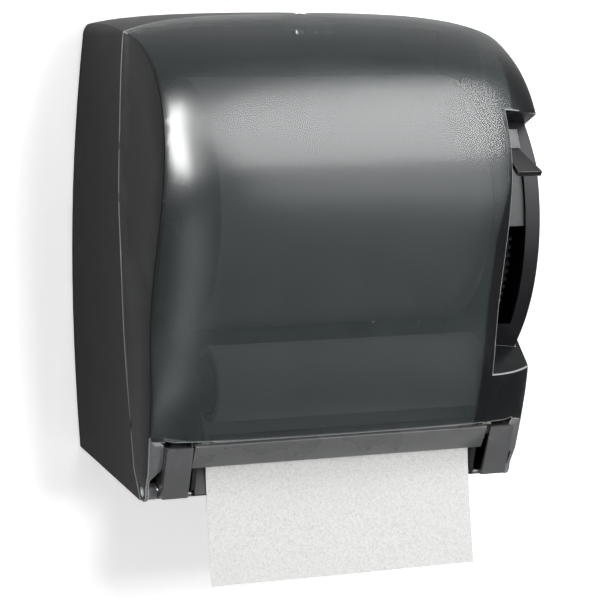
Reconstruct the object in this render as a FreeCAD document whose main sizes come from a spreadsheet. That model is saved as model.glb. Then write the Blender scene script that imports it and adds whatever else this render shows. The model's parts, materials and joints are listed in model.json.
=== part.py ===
import FreeCAD, Part
import math
import os

from FreeCAD import Placement, Rotation, Vector

# Wall-hung lever roll-towel dispenser, in millimetres.
# Frame: the wall is the plane Y = 0 and the front faces -Y, X runs to the right as seen from
# the front, Z is up.  The origin is the centre of the four wall fixings.  Heights in the sheet are
# measured from the lowest tips of the cover, and depths are measured out from the wall.

os.makedirs("parts", exist_ok=True)
doc = FreeCAD.newDocument("lever_towel_dispenser")

SIZES = {
    # case: outline, crown and walls
    "tip_drop": 175.0,              # fixing centre down to the cover's lowest tips
    "fixing_span_x": 180.0,
    "fixing_span_z": 150.0,
    "fixing_hole_radius": 2.75,
    "fixing_boss_radius": 8.0,
    "fixing_boss_height": 2.0,
    "back_half_width": 155.3,       # at the wall, at the waist
    "waist_height": 145.0,
    "upper_bow_radius": 1540.0,
    "lower_bow_radius": 2000.0,
    "side_draft": 3.56,             # degrees, each side closes towards the front
    "shoulder_height": 325.5,
    "shoulder_radius": 12.5,
    "top_rise": 7.5,                # clear height of the outline above the crown
    "crown_half_width": 141.0,
    "shell_wall": 2.5,
    "back_wall": 3.0,
    "seam_gap": 0.5,
    "floor_back_height": 13.7,
    "floor_front_height": -0.4,
    # cover hinge and lock
    "hinge_depth": 141.1,
    "hinge_height": 7.3,
    "hinge_pin_radius": 3.0,
    "hinge_boss_radius": 6.0,
    "hinge_fit": 0.08,
    "hinge_pin_inset": 0.6,         # pin ends below the cover's outside
    "thumb_notch_radius": 6.0,
    "lock_depth": 76.0,
    "lock_radius": 8.0,
    "hook_radius": 22.0,            # inner radius of the lock's hook
    "hook_width": 4.0,
    "hook_height": 3.0,
    "hook_level": 327.0,
    "lock_top_height": 343.0,
    # lever recess, tower and lever
    "recess_edge_x": 108.4,
    "recess_top_height": 271.0,
    "recess_top_slope": 20.0,       # degrees
    "recess_floor_height": 103.0,   # at the tower face
    "recess_floor_slope": 36.0,     # degrees, down towards the front
    "recess_floor_tilt": 13.0,      # degrees, down towards the side
    "recess_wall": 2.0,
    "tower_inner_x": 109.0,
    "tower_outer_x": 140.0,
    "tower_wall": 2.5,
    "tower_outer_wall": 4.0,
    "tower_taper_height": 236.0,    # above this the outer side leans in under the cover
    "tower_taper": 3.4,             # lean at the tower's top
    "tower_face_radius": 130.0,
    "tower_top_height": 268.0,
    "tower_bottom_height": 84.0,
    "tower_gap": 0.6,
    "recess_side_setback": 9.0,     # the cover's side wall stops this far behind the tower face
    "slot_inner_x": 111.7,
    "slot_outer_x": 128.8,
    "slot_top_height": 254.0,
    "slot_bottom_height": 118.0,
    "pivot_depth": 65.0,
    "pivot_height": 192.0,
    "lever_shaft_radius": 5.0,
    "bush_wall": 3.0,
    "bush_flange": 1.5,
    "running_fit": 0.06,
    "lever_rest_angle": 25.2,       # degrees above level
    "lever_stroke": 48.0,
    "arm_x": 115.0,
    "arm_thickness": 5.0,
    "arm_width": 11.0,
    "arm_reach": 143.0,
    "arm_hub_radius": 11.0,
    "paddle_inner_x": 109.8,
    "paddle_root_width": 10.5,
    "paddle_tip_width": 18.4,
    "paddle_tip_depth": 221.4,
    "paddle_tip_height": 232.3,
    "paddle_root_depth": 197.0,
    "paddle_root_height": 248.5,
    "paddle_thickness": 4.0,
    "shutter_thickness": 1.6,
    "shutter_angle": 17.0,
    "bumper_thickness": 6.0,
    "bumper_reach": 106.0,
    "spring_wire": 1.6,
    "spring_radius": 9.0,
    "spring_turns": 2.5,
    # gear train
    "gear_module": 2.0,
    "gear_line_angle": 25.2,        # degrees forward of straight down
    "sector_teeth": 110,
    "idler_pinion_teeth": 18,
    "idler_gear_teeth": 24,
    "drive_pinion_teeth": 15,
    "gear_face": 5.0,
    "sector_x": 122.0,
    "idler_gear_x": 115.0,
    "idler_shaft_radius": 4.0,
    "gear_backlash": 0.30,
    # feed rollers and the module that carries them
    "frame_inner_x": 106.0,
    "frame_thickness": 3.0,
    "frame_top_height": 122.0,
    "frame_floor_clearance": 0.3,
    "drive_shaft_radius": 4.0,
    "drive_roller_radius": 14.0,
    "drive_sleeve_length": 38.0,
    "sleeve_wall": 2.5,
    "pinch_roller_radius": 7.0,
    "pinch_shaft_radius": 2.5,
    "nip_gap": 1.0,
    "knob_radius": 15.0,
    "knob_width": 12.0,
    "bar_half_length": 111.3,
    "bar_thickness": 3.0,
    "bar_flange_depth": 4.0,
    "bar_top_depth": 172.3,
    "bar_top_height": 43.0,
    "bar_bottom_depth": 161.3,
    "bar_bottom_height": 25.8,
    "blade_thickness": 0.8,
    "blade_width": 8.0,
    "blade_pitch": 4.0,
    "blade_tooth": 2.0,
    "cap_inner_x": 113.3,
    "cap_outer_x": 131.9,
    "cap_wall": 2.5,
    "cap_top_depth": 174.2,
    "cap_top_height": 42.9,
    "cap_bottom_depth": 158.6,
    "cap_bottom_height": 4.4,
    "module_back_depth": 122.0,
    "chute_bottom_depth": 151.3,
    "chute_top_depth": 147.5,
    "chute_top_height": 26.0,
    "chute_wall": 2.0,
    # towels
    "paper_width": 203.0,
    "paper_shift": 3.75,            # the towel runs this far right of centre
    "core_radius": 21.5,
    "core_wall": 2.0,
    "main_roll_radius": 91.0,
    "main_roll_depth": 98.5,
    "main_roll_height": 206.0,
    "stub_roll_radius": 27.0,
    "stub_roll_depth": 156.5,
    "stub_roll_height": 84.0,
    "sheet_thickness": 0.4,
    "sheet_drop": 60.0,             # free end below the cover's tips
    "plug_radius": 19.4,
    "plug_tip_radius": 16.5,
    "plug_length": 9.0,
    "arm_gap": 0.75,
    "roll_arm_thickness": 3.0,
    "roll_arm_height": 28.0,
    "roll_arm_hinge_depth": 10.0,
    "roll_arm_pin_radius": 2.5,
    "roll_arm_knuckle_radius": 5.0,
    # fasteners
    "screw_radius": 2.0,
    "screw_head_radius": 4.0,
    "screw_head_height": 2.2,
    "foot_width": 12.0,             # feet of the side frames on the back wall
    "foot_height": 16.0,
    "foot_thickness": 3.0,
}

sheet = doc.addObject("Spreadsheet::Sheet", "dims")
for row, (alias, value) in enumerate(SIZES.items(), start=1):
    sheet.set(f"A{row}", alias)
    sheet.set(f"B{row}", str(value))
    sheet.setAlias(f"B{row}", alias)
doc.recompute()


def mm(expression):
    """The value of an expression over the sheet."""
    return float(sheet.evalExpression(expression))


def up(name):
    """Expression for the Z of a height kept in the sheet."""
    return f"(dims.{name} - dims.tip_drop)"


def out(name):
    """Expression for the Y of a depth kept in the sheet."""
    return f"(-dims.{name})"


def level(height):
    """Z of a plain height above the cover's tips."""
    return height - mm("dims.tip_drop")


# Axes that several pieces share, as expressions over the sheet.
PIVOT_Y = out("pivot_depth")
PIVOT_Z = up("pivot_height")
IDLER_ARM = "((dims.sector_teeth + dims.idler_pinion_teeth) * dims.gear_module / 2)"
DRIVE_ARM = f"({IDLER_ARM} + (dims.idler_gear_teeth + dims.drive_pinion_teeth) * dims.gear_module / 2)"
IDLER_Y = f"({PIVOT_Y} - {IDLER_ARM} * sin(dims.gear_line_angle))"
IDLER_Z = f"({PIVOT_Z} - {IDLER_ARM} * cos(dims.gear_line_angle))"
DRIVE_Y = f"({PIVOT_Y} - {DRIVE_ARM} * sin(dims.gear_line_angle))"
DRIVE_Z = f"({PIVOT_Z} - {DRIVE_ARM} * cos(dims.gear_line_angle))"
PINCH_Y = f"({DRIVE_Y} - dims.drive_roller_radius - dims.nip_gap - dims.pinch_roller_radius)"
HINGE_Y = out("hinge_depth")
HINGE_Z = up("hinge_height")
MAIN_Y = out("main_roll_depth")
MAIN_Z = up("main_roll_height")
STUB_Y = out("stub_roll_depth")
STUB_Z = up("stub_roll_height")
PAPER_LEFT = "(dims.paper_shift - dims.paper_width / 2)"
PAPER_RIGHT = "(dims.paper_shift + dims.paper_width / 2)"
FRAME_OUTER = "(dims.frame_inner_x + dims.frame_thickness)"
ALONG_X = Rotation(Vector(0, 1, 0), 90)
UPRIGHT = Rotation()
SIDES = {"left": -1, "right": 1}


# ---------------------------------------------------------------- small builders

def bind(feature, **expressions):
    """Bind properties of a feature to expressions over the sheet."""
    for prop, expression in expressions.items():
        feature.setExpression(prop, expression)
    return feature


def seat(feature, x="0", y="0", z="0", rotation=UPRIGHT):
    """Place a feature, with each coordinate bound to an expression."""
    feature.Placement = Placement(Vector(), rotation)
    for coordinate, expression in zip("xyz", (x, y, z)):
        feature.setExpression(f"Placement.Base.{coordinate}", expression)
    return feature


def rod(name, radius, x_from, x_to, y, z):
    """A cylinder along X between two X values."""
    cylinder = doc.addObject("Part::Cylinder", name)
    bind(cylinder, Radius=radius, Height=f"({x_to}) - ({x_from})")
    return seat(cylinder, x_from, y, z, ALONG_X)


def post(name, radius, x, y, z_from, z_to):
    """An upright cylinder between two Z values."""
    cylinder = doc.addObject("Part::Cylinder", name)
    bind(cylinder, Radius=radius, Height=f"({z_to}) - ({z_from})")
    return seat(cylinder, x, y, z_from)


def block(name, x_from, x_to, y_from, y_to, z_from, z_to):
    """A box between two corners."""
    box = doc.addObject("Part::Box", name)
    bind(box, Length=f"({x_to}) - ({x_from})", Width=f"({y_to}) - ({y_from})",
         Height=f"({z_to}) - ({z_from})")
    return seat(box, x_from, y_from, z_from)


def fuse(name, *pieces):
    """One solid out of several."""
    fusion = doc.addObject("Part::MultiFuse", name)
    fusion.Shapes = list(pieces)
    return fusion


def cut(name, base, *tools):
    """A base with its tools taken away."""
    result = doc.addObject("Part::Cut", name)
    result.Base = base
    result.Tool = tools[0] if len(tools) == 1 else fuse(name + "_tools", *tools)
    return result


def solid(name, shape):
    """A feature that holds a shape made with Part's own functions."""
    feature = doc.addObject("Part::Feature", name)
    feature.Shape = shape
    return feature


def side_prism(points, x_from, x_to):
    """A prism along X from an outline of (y, z) points."""
    corners = [Vector(x_from, y, z) for y, z in points]
    face = Part.Face(Part.makePolygon(corners + corners[:1]))
    return face.extrude(Vector(x_to - x_from, 0, 0))


def about_pivot(radius, angle):
    """(y, z) at a radius from the lever pivot and an angle above level, facing front."""
    turn = math.radians(angle)
    return (mm(PIVOT_Y) - radius * math.cos(turn), mm(PIVOT_Z) + radius * math.sin(turn))


def cylinder_x(radius, x_from, x_to, y, z):
    """A plain cylinder shape along X."""
    return Part.makeCylinder(radius, x_to - x_from, Vector(x_from, y, z), Vector(1, 0, 0))


# ---------------------------------------------------------------- case envelope

# Middle line of the crown, from the wall over the top and down the front:
# depth, height, and how far the crown falls back at the crease.
CROWN_LINE = [
    (-70.0, 343.0, 8.0), (-30.0, 343.0, 8.0), (10.0, 343.2, 8.5), (50.0, 343.2, 10.0),
    (85.0, 342.4, 13.0), (118.0, 339.8, 16.5), (150.0, 331.0, 20.0),
    (186.0, 309.5, 22.0), (212.0, 274.0, 23.0), (226.0, 235.0, 29.0), (222.8, 200.0, 28.0),
    (213.0, 160.0, 28.0), (203.2, 122.0, 26.0), (195.0, 82.0, 21.5), (181.0, 46.7, 15.5),
    (169.0, 14.0, 14.0), (158.5, -18.0, 14.0), (149.0, -50.0, 14.0),
]
CROWN_STATIONS = (-1.18, -1.0, -0.76, -0.4, 0.0, 0.4, 0.76, 1.0, 1.18)
CROWN_BLEND = 0.457                 # share of the crown that is a plain arch

# Joint line between housing and cover, seen from the side: depth, height.
SEAM_LINE = [(92.7, 350.0), (92.7, 324.7), (98.0, 287.0), (103.0, 255.0), (107.0, 214.0),
             (114.0, 174.0), (119.0, 120.0), (125.0, 63.0), (127.0, 22.0)]
# Front edge of the cover's lower corners, from the crown down to the hinge.
SCOOP_LINE = [(165.0, 46.7), (162.5, 33.0), (154.6, 19.0), (148.6, 9.0)]
CASE_BOTTOM = -12.0
CASE_REACH = 240.0
FAR = 400.0


def crown_fall(share):
    """Fall of the crown at a share of its half width."""
    return CROWN_BLEND * share ** 2 + (1 - CROWN_BLEND) * share ** 6


def crown_tool(inset):
    """The space outside the crowned top and front, moved in by inset."""
    half = mm("dims.crown_half_width")
    grid = []
    for index, (depth, height, fall) in enumerate(CROWN_LINE):
        before = CROWN_LINE[max(index - 1, 0)]
        after = CROWN_LINE[min(index + 1, len(CROWN_LINE) - 1)]
        run = Vector(0, before[0] - after[0], after[1] - before[1]).normalize()
        inward = Vector(0, -run.z, run.y)
        middle = Vector(0, -depth, level(height))
        grid.append([middle + inward * (inset + fall * crown_fall(share)) + Vector(share * half, 0, 0)
                     for share in CROWN_STATIONS])
    surface = Part.BSplineSurface()
    surface.interpolate(grid)
    return surface.toShape().extrude(Vector(0, -FAR, 0.4 * FAR))


def half_width(height):
    """Half width of the case at the wall, at a height."""
    rise = height - mm("dims.waist_height")
    bow = mm("dims.upper_bow_radius") if rise > 0 else mm("dims.lower_bow_radius")
    return mm("dims.back_half_width") - bow + math.sqrt(bow ** 2 - rise ** 2)


def case_outline(depth, inset):
    """Front outline of the case at a depth, as a wire."""
    waist = mm("dims.waist_height")
    shoulder = mm("dims.shoulder_height")
    radius = mm("dims.shoulder_radius") - inset
    draft = depth * math.tan(math.radians(mm("dims.side_draft")))

    def half(height):
        return half_width(height) - draft - inset

    def point(x, height):
        return Vector(x, -depth, level(height))

    centre = half(shoulder) - radius
    diagonal = radius * math.sqrt(0.5)
    peak = shoulder + mm("dims.shoulder_radius") + mm("dims.top_rise") - inset

    def side(sign, low, high):
        heights = (low, (low + high) / 2, high)
        return Part.Arc(*[point(sign * half(height), height) for height in heights]).toShape()

    corner = {sign: Part.Arc(point(sign * half(shoulder), shoulder),
                             point(sign * (centre + diagonal), shoulder + diagonal),
                             point(sign * centre, shoulder + radius)).toShape() for sign in (-1, 1)}
    top = Part.Arc(point(centre, shoulder + radius), point(0, peak), point(-centre, shoulder + radius)).toShape()
    bottom = Part.makeLine(point(-half(CASE_BOTTOM), CASE_BOTTOM), point(half(CASE_BOTTOM), CASE_BOTTOM))
    right = [side(1, CASE_BOTTOM, waist), side(1, waist, shoulder), corner[1]]
    left = [corner[-1], side(-1, waist, shoulder), side(-1, CASE_BOTTOM, waist)]
    return Part.Wire([bottom] + right + [top] + left)


def envelope(inset):
    """Outside of the case, moved in by inset all round."""
    body = Part.makeLoft([case_outline(0, inset), case_outline(CASE_REACH, inset)], True, True)
    return body.cut(crown_tool(inset))


def case_shapes():
    """Outside and inside of the case, which both halves are cut from."""
    return envelope(0), envelope(mm("dims.shell_wall"))


def line_wire(points):
    """A smooth edge through (depth, height) points on the plane X = -FAR / 2."""
    curve = Part.BSplineCurve()
    curve.interpolate([Vector(-FAR / 2, -depth, level(height)) for depth, height in points])
    return curve.toShape()


def polyline(points):
    """Straight edges through (depth, height) points on the plane X = -FAR / 2."""
    corners = [Vector(-FAR / 2, -depth, level(height)) for depth, height in points]
    return [Part.makeLine(a, b) for a, b in zip(corners, corners[1:])]


def zone(edges):
    """The space across the whole width inside a closed side outline."""
    return Part.Face(Part.Wire(Part.__sortEdges__(edges))).extrude(Vector(FAR, 0, 0))


def shifted(points, distance):
    """Points moved towards the front by a distance."""
    return [(depth + distance, height) for depth, height in points]


def cover_zone():
    """Side outline of the cover."""
    seam = shifted(SEAM_LINE, mm("dims.seam_gap") / 2)
    depth, height, radius = mm("dims.hinge_depth"), mm("dims.hinge_height"), mm("dims.hinge_height")
    heel = (depth - radius, height)
    toe = (depth + radius, height)
    tip = Part.Arc(Vector(-FAR / 2, -heel[0], level(height)), Vector(-FAR / 2, -depth, level(height - radius)),
                   Vector(-FAR / 2, -toe[0], level(height))).toShape()
    edges = [line_wire(seam[1:]), tip, line_wire(SCOOP_LINE)]
    edges += polyline([seam[0], seam[1]]) + polyline([seam[-1], heel]) + polyline([toe, SCOOP_LINE[-1]])
    edges += polyline([SCOOP_LINE[0], (FAR, SCOOP_LINE[0][1]), (FAR, seam[0][1]), seam[0]])
    return zone(edges)


def housing_zone():
    """Side outline of the rear housing."""
    seam = shifted(SEAM_LINE, -mm("dims.seam_gap") / 2)
    front = (136.0, mm("dims.floor_front_height"))
    back = (0.0, mm("dims.floor_back_height"))
    edges = [line_wire(seam[1:])] + polyline([seam[0], seam[1]]) + polyline([seam[-1], front, back])
    edges += polyline([back, (0.0, seam[0][1]), seam[0]])
    return zone(edges)


# ---------------------------------------------------------------- recess for the lever

def recess(grow):
    """The lever's recess in the cover's right side, with its walls moved out by grow."""
    face = mm("dims.tower_face_radius + dims.tower_gap")
    below_pivot = mm("dims.recess_floor_height - dims.pivot_height")
    foot = mm("dims.pivot_depth") + math.sqrt(face ** 2 - below_pivot ** 2)
    brow = mm("dims.crown_half_width") + 50.0
    near, far = mm("dims.pivot_depth") + 40.0, CASE_REACH + 40.0
    top_rise = math.tan(math.radians(mm("dims.recess_top_slope")))
    floor_fall = math.tan(math.radians(mm("dims.recess_floor_slope")))
    width = 80.0
    tilt = width * math.tan(math.radians(mm("dims.recess_floor_tilt")))
    x_edge = mm("dims.recess_edge_x") - grow
    top_height = mm("dims.recess_top_height") + grow
    ends = []
    for x, drop in ((x_edge, 0.0), (x_edge + width, tilt)):
        floor_height = mm("dims.recess_floor_height") - grow - drop
        corners = [(near, floor_height + (foot - near) * floor_fall), (far, floor_height + (foot - far) * floor_fall),
                   (far, top_height + (far - brow) * top_rise), (near, top_height + (near - brow) * top_rise)]
        points = [Vector(x, -depth, level(height)) for depth, height in corners]
        ends.append(Part.makePolygon(points + points[:1]))
    return Part.makeLoft(ends, True, True)


def recess_shapes():
    """What the recess takes from the cover, and the walls that it adds to it."""
    wall = mm("dims.recess_wall")
    face = mm("dims.tower_face_radius + dims.tower_gap")
    tower_side = mm("dims.tower_outer_x + dims.tower_gap")
    y, z = mm(PIVOT_Y), mm(PIVOT_Z)
    side_keep = cylinder_x(face - mm("dims.recess_side_setback"), tower_side, FAR, y, z)
    tower_room = cylinder_x(face, mm("dims.recess_edge_x") - wall - 1.0, tower_side, y, z)
    space = recess(0)
    walls = recess(wall).cut([space, tower_room, side_keep])
    return space.cut(side_keep), walls


def feed_mouth():
    """Space that the cover leaves for the feed module, at rest and as it swings open."""
    reach = mm("dims.cap_outer_x + dims.seam_gap")
    bar_room = side_prism([(mm(HINGE_Y) + 30.0, level(CASE_BOTTOM)), (-CASE_REACH, level(CASE_BOTTOM)),
                           (-CASE_REACH, level(SCOOP_LINE[0][1])), (mm(HINGE_Y) + 30.0, level(SCOOP_LINE[0][1]))],
                          -reach, reach)
    corner = math.hypot(mm("dims.cap_top_depth - dims.hinge_depth"), mm("dims.cap_top_height - dims.hinge_height"))
    return bar_room.fuse(cylinder_x(corner + 0.6, -reach, reach, mm(HINGE_Y), mm(HINGE_Z)))


def hinge_side():
    """Half width of the cover's outside at its hinge."""
    draft = mm("dims.hinge_depth") * math.tan(math.radians(mm("dims.side_draft")))
    return half_width(mm("dims.hinge_height")) - draft


def front_cover(outside, inside):
    """Smoke-tinted cover with crowned front, lever recess and hinge lugs."""
    wall = mm("dims.shell_wall")
    front = cover_zone()
    space, walls = recess_shapes()
    shell = outside.common(front).cut([inside, space, feed_mouth()])
    walls = walls.common(inside).common(front)
    lug = cylinder_x(mm("dims.hinge_boss_radius"), mm("dims.cap_outer_x + dims.seam_gap"),
                     hinge_side() - wall / 2, mm(HINGE_Y), mm(HINGE_Z))
    bore = cylinder_x(mm("dims.hinge_pin_radius + dims.hinge_fit"), -FAR / 2, FAR / 2, mm(HINGE_Y), mm(HINGE_Z))
    notch = Part.makeCylinder(mm("dims.thumb_notch_radius"), 40.0,
                              Vector(0, -SEAM_LINE[0][0], level(mm("dims.shoulder_height"))))
    shell = shell.fuse([walls, lug, lug.mirror(Vector(), Vector(1, 0, 0))]).cut([bore, notch])
    solid("front_cover", shell.removeSplitter())


def lock_keeper(inside):
    """Catch plate that hangs from the cover's top: the turned hook closes in front of it."""
    gap, thickness, half_width = 0.7, 3.3, 3.0
    front = mm(out("lock_depth")) - mm("dims.hook_radius") + gap
    foot, top = level(323.0), level(342.0)
    plate = Part.makeBox(2 * half_width, thickness, top - foot, Vector(-half_width, front, foot))
    solid("lock_keeper", plate.common(inside))


def back_housing(outside, inside):
    """Rear housing with back wall, floor, wall-fixing bosses and the left roll arm's hinge lugs."""
    wall, back_wall = mm("dims.shell_wall"), mm("dims.back_wall")
    room = Part.makeBox(FAR, FAR, FAR, Vector(-FAR / 2, -FAR - back_wall, -FAR / 2))
    floor = side_prism([(-400.0, -FAR), (10.0, -FAR), (10.0, level(mm("dims.floor_back_height") + wall + 1.1)),
                        (-136.0, level(mm("dims.floor_front_height") + wall)),
                        (-400.0, level(mm("dims.floor_front_height") + wall))], -FAR / 2, FAR / 2)
    shell = outside.common(housing_zone()).cut(inside.common(room).cut(floor))
    span_x, span_z = mm("dims.fixing_span_x / 2"), mm("dims.fixing_span_z / 2")
    fixings = [Vector(x, 0, z) for x in (-span_x, span_x) for z in (-span_z, span_z)]
    depth = back_wall + mm("dims.fixing_boss_height")
    outwards = Vector(0, -1, 0)
    added = [Part.makeCylinder(mm("dims.fixing_boss_radius"), depth, spot, outwards) for spot in fixings]
    removed = [Part.makeCylinder(mm("dims.fixing_hole_radius"), depth, spot, outwards) for spot in fixings]
    foot_x = mm("dims.frame_inner_x - dims.foot_width / 2")
    removed += [Part.makeCylinder(mm("dims.screw_radius"), depth, Vector(x, -1.0, level(height)), outwards)
                for x in (-foot_x, foot_x) for height in FOOT_SCREWS]
    lock_y = mm(out("lock_depth"))
    removed.append(Part.makeCylinder(mm("dims.lock_radius + dims.running_fit"), 40.0, Vector(0, lock_y, level(320.0))))
    added.append(Part.makeCylinder(mm("dims.lock_radius") + 3.0, 11.0, Vector(0, lock_y, level(331.0))))
    added.append(roll_arm_lugs())
    solid("back_housing", shell.fuse(added).cut(removed).removeSplitter())


def roll_arm_lugs():
    """Two lugs on the back wall that hold the left roll arm's pin."""
    x, y = mm(ARM_HINGE_X), mm(out("roll_arm_hinge_depth"))
    half = mm("dims.roll_arm_height") / 2 + 0.4
    lugs = []
    for bottom in (mm(MAIN_Z) - half - 4.0, mm(MAIN_Z) + half):
        lug = Part.makeCylinder(5.5, 4.0, Vector(x, y, bottom))
        lug = lug.fuse(Part.makeBox(11.0, -y - 1.0, 4.0, Vector(x - 5.5, y, bottom)))
        bore = Part.makeCylinder(mm("dims.roll_arm_pin_radius"), 4.0, Vector(x, y, bottom))
        lugs.append(lug.cut(bore))
    return lugs[0].fuse(lugs[1])


ARM_HINGE_X = f"({PAPER_LEFT} - dims.arm_gap - dims.roll_arm_knuckle_radius - 0.15)"
RIGHT_ARM_X = f"({PAPER_RIGHT} + dims.arm_gap)"


def hinge_pins():
    """The two pins that the cover swings on, held in the end caps."""
    inner = "(dims.cap_outer_x - 8)"
    bow = "dims.lower_bow_radius"
    sag = f"({bow} - sqrt(pow({bow}; 2) - pow(dims.waist_height - dims.hinge_height; 2)))"
    outer = f"(dims.back_half_width - {sag} - dims.hinge_depth * tan(dims.side_draft) - dims.hinge_pin_inset)"
    rod("hinge_pin_right", "dims.hinge_pin_radius", inner, outer, HINGE_Y, HINGE_Z)
    rod("hinge_pin_left", "dims.hinge_pin_radius", f"-{outer}", f"-{inner}", HINGE_Y, HINGE_Z)


# ---------------------------------------------------------------- lock

def lock():
    """Key barrel in the housing's top and the hook that it turns."""
    z_top = up("lock_top_height")
    y = out("lock_depth")
    barrel = post("lock_barrel_body", "dims.lock_radius", "0", y, f"{up('hook_level')} + dims.hook_height", z_top)
    keyway = block("lock_keyway", "-1", "1", f"{y} - 4", f"{y} + 4", f"{z_top} - 5", f"{z_top} + 1")
    cut("lock_barrel", barrel, keyway)
    inner = mm("dims.hook_radius")
    outer = mm("dims.hook_radius + dims.hook_width")
    height = mm("dims.hook_height")
    base = Vector(0, mm(y), mm(up("hook_level")))
    ring = Part.makeCylinder(outer, height, base).cut(Part.makeCylinder(inner, height, base))
    start, end = math.radians(20), math.radians(75)

    def ray(angle, radius):
        return base + Vector(math.sin(angle) * radius, -math.cos(angle) * radius, 0)

    wedge = [base, ray(start, 60.0), ray((start + end) / 2, 60.0), ray(end, 60.0)]
    hook = ring.common(Part.Face(Part.makePolygon(wedge + wedge[:1])).extrude(Vector(0, 0, height)))
    spoke = Part.makeBox(outer - 2.0, 6.0, height, Vector(0, -3.0, 0))
    spoke.rotate(Vector(), Vector(0, 0, 1), -90 + 68)
    spoke.translate(base)
    hub = Part.makeCylinder(mm("dims.lock_radius") - 1.0, height, base)
    solid("lock_hook", hub.fuse(spoke).fuse(hook).removeSplitter())


# ---------------------------------------------------------------- gears

def involute(angle):
    return math.tan(angle) - angle


def gear_points(teeth, first, count, phase):
    """Outline points (y, z) of some teeth of a gear round the origin.

    Tooth number k is centred at phase + k pitches, as an angle from +Y towards +Z.
    """
    module = mm("dims.gear_module")
    pitch = teeth * module / 2
    base = pitch * math.cos(math.radians(20))
    tip, root = pitch + 0.8 * module, pitch - module
    half_pitch = (math.pi / 2 - mm("dims.gear_backlash") / (2 * module)) / teeth
    start = max(base, root)
    radii = [start + (tip - start) * step / 5 for step in range(6)]
    flank = [(r, half_pitch + involute(math.radians(20)) - involute(math.acos(min(1, base / r)))) for r in radii]
    flank = [(root, flank[0][1])] + flank if root < start else flank
    points = []
    for tooth in range(first, first + count):
        middle = phase + tooth * 2 * math.pi / teeth
        points += [(r, middle - half) for r, half in flank]
        points += [(r, middle + half) for r, half in reversed(flank)]
    return [(r * math.cos(a), r * math.sin(a)) for r, a in points]


def gear_blank(teeth, phase, x_from, width, y, z, bore):
    """A whole gear on an axis along X."""
    points = [(y + dy, z + dz) for dy, dz in gear_points(teeth, 0, teeth, phase)]
    return side_prism(points, x_from, x_from + width).cut(cylinder_x(bore, x_from - 1, x_from + width + 1, y, z))


def line_phase():
    """Angle of the line of gear centres, from +Y towards +Z."""
    return math.radians(-90 - mm("dims.gear_line_angle"))


def sector_gear():
    """Toothed sector that turns with the lever."""
    teeth = int(mm("dims.sector_teeth"))
    y, z = mm(PIVOT_Y), mm(PIVOT_Z)
    stroke_teeth = mm("dims.lever_stroke") / 360 * teeth
    first, count = -int(stroke_teeth) - 4, int(stroke_teeth) + 7
    points = gear_points(teeth, first, count, line_phase())
    x, face = mm("dims.sector_x"), mm("dims.gear_face")
    web = side_prism([(y, z)] + [(y + dy, z + dz) for dy, dz in points], x, x + face)
    hub = cylinder_x(mm("dims.arm_hub_radius"), mm("dims.arm_x + dims.arm_thickness"), x + face, y, z)
    middle = line_phase() - math.radians(mm("dims.lever_stroke") / 2)
    window = cylinder_x(20.0, x - 1, x + face + 1, y + 62.0 * math.cos(middle), z + 62.0 * math.sin(middle))
    bore = cylinder_x(mm("dims.lever_shaft_radius"), x - 20, x + 20, y, z)
    solid("sector_gear", web.fuse(hub).cut(window).cut(bore).removeSplitter())


def idler():
    """Stub axle and the two-step idler gear that runs on it."""
    y, z = mm(IDLER_Y), mm(IDLER_Z)
    bore = mm("dims.idler_shaft_radius + dims.running_fit")
    face = mm("dims.gear_face")
    wheel_teeth, pinion_teeth = int(mm("dims.idler_gear_teeth")), int(mm("dims.idler_pinion_teeth"))
    gap = line_phase() + math.pi + math.pi / pinion_teeth
    wheel_x, pinion_x = mm("dims.idler_gear_x"), mm("dims.sector_x") - 0.5
    wheel = gear_blank(wheel_teeth, line_phase(), wheel_x, face, y, z, bore)
    pinion = gear_blank(pinion_teeth, gap, pinion_x, face + 1, y, z, bore)
    neck = cylinder_x(9.0, wheel_x + face, pinion_x, y, z).cut(cylinder_x(bore, wheel_x, pinion_x + 9, y, z))
    solid("idler_gear", wheel.fuse(neck).fuse(pinion).removeSplitter())
    axle = rod("idler_axle_rod", "dims.idler_shaft_radius", "dims.frame_inner_x", "dims.sector_x + 8", IDLER_Y, IDLER_Z)
    head = rod("idler_axle_head", "dims.idler_shaft_radius + 2", "dims.sector_x + dims.gear_face + 1",
               "dims.sector_x + 8", IDLER_Y, IDLER_Z)
    shoulder = rod("idler_axle_shoulder", "dims.idler_shaft_radius + 3", FRAME_OUTER, "dims.idler_gear_x - 0.3",
                   IDLER_Y, IDLER_Z)
    fuse("idler_axle", axle, head, shoulder)


def drive_pinion():
    """Pinion with its one-way clutch housing on the drive shaft."""
    teeth = int(mm("dims.drive_pinion_teeth"))
    y, z = mm(DRIVE_Y), mm(DRIVE_Z)
    phase = line_phase() + math.pi + math.pi / teeth
    x, shaft = mm("dims.idler_gear_x"), mm("dims.drive_shaft_radius")
    gear = gear_blank(teeth, phase, x, mm("dims.gear_face"), y, z, shaft)
    drum = cylinder_x(11.0, x + mm("dims.gear_face"), x + mm("dims.gear_face") + 6, y, z)
    drum = drum.cut(cylinder_x(shaft, x, x + 20, y, z))
    solid("drive_pinion", gear.fuse(drum).removeSplitter())


# ---------------------------------------------------------------- lever

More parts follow.
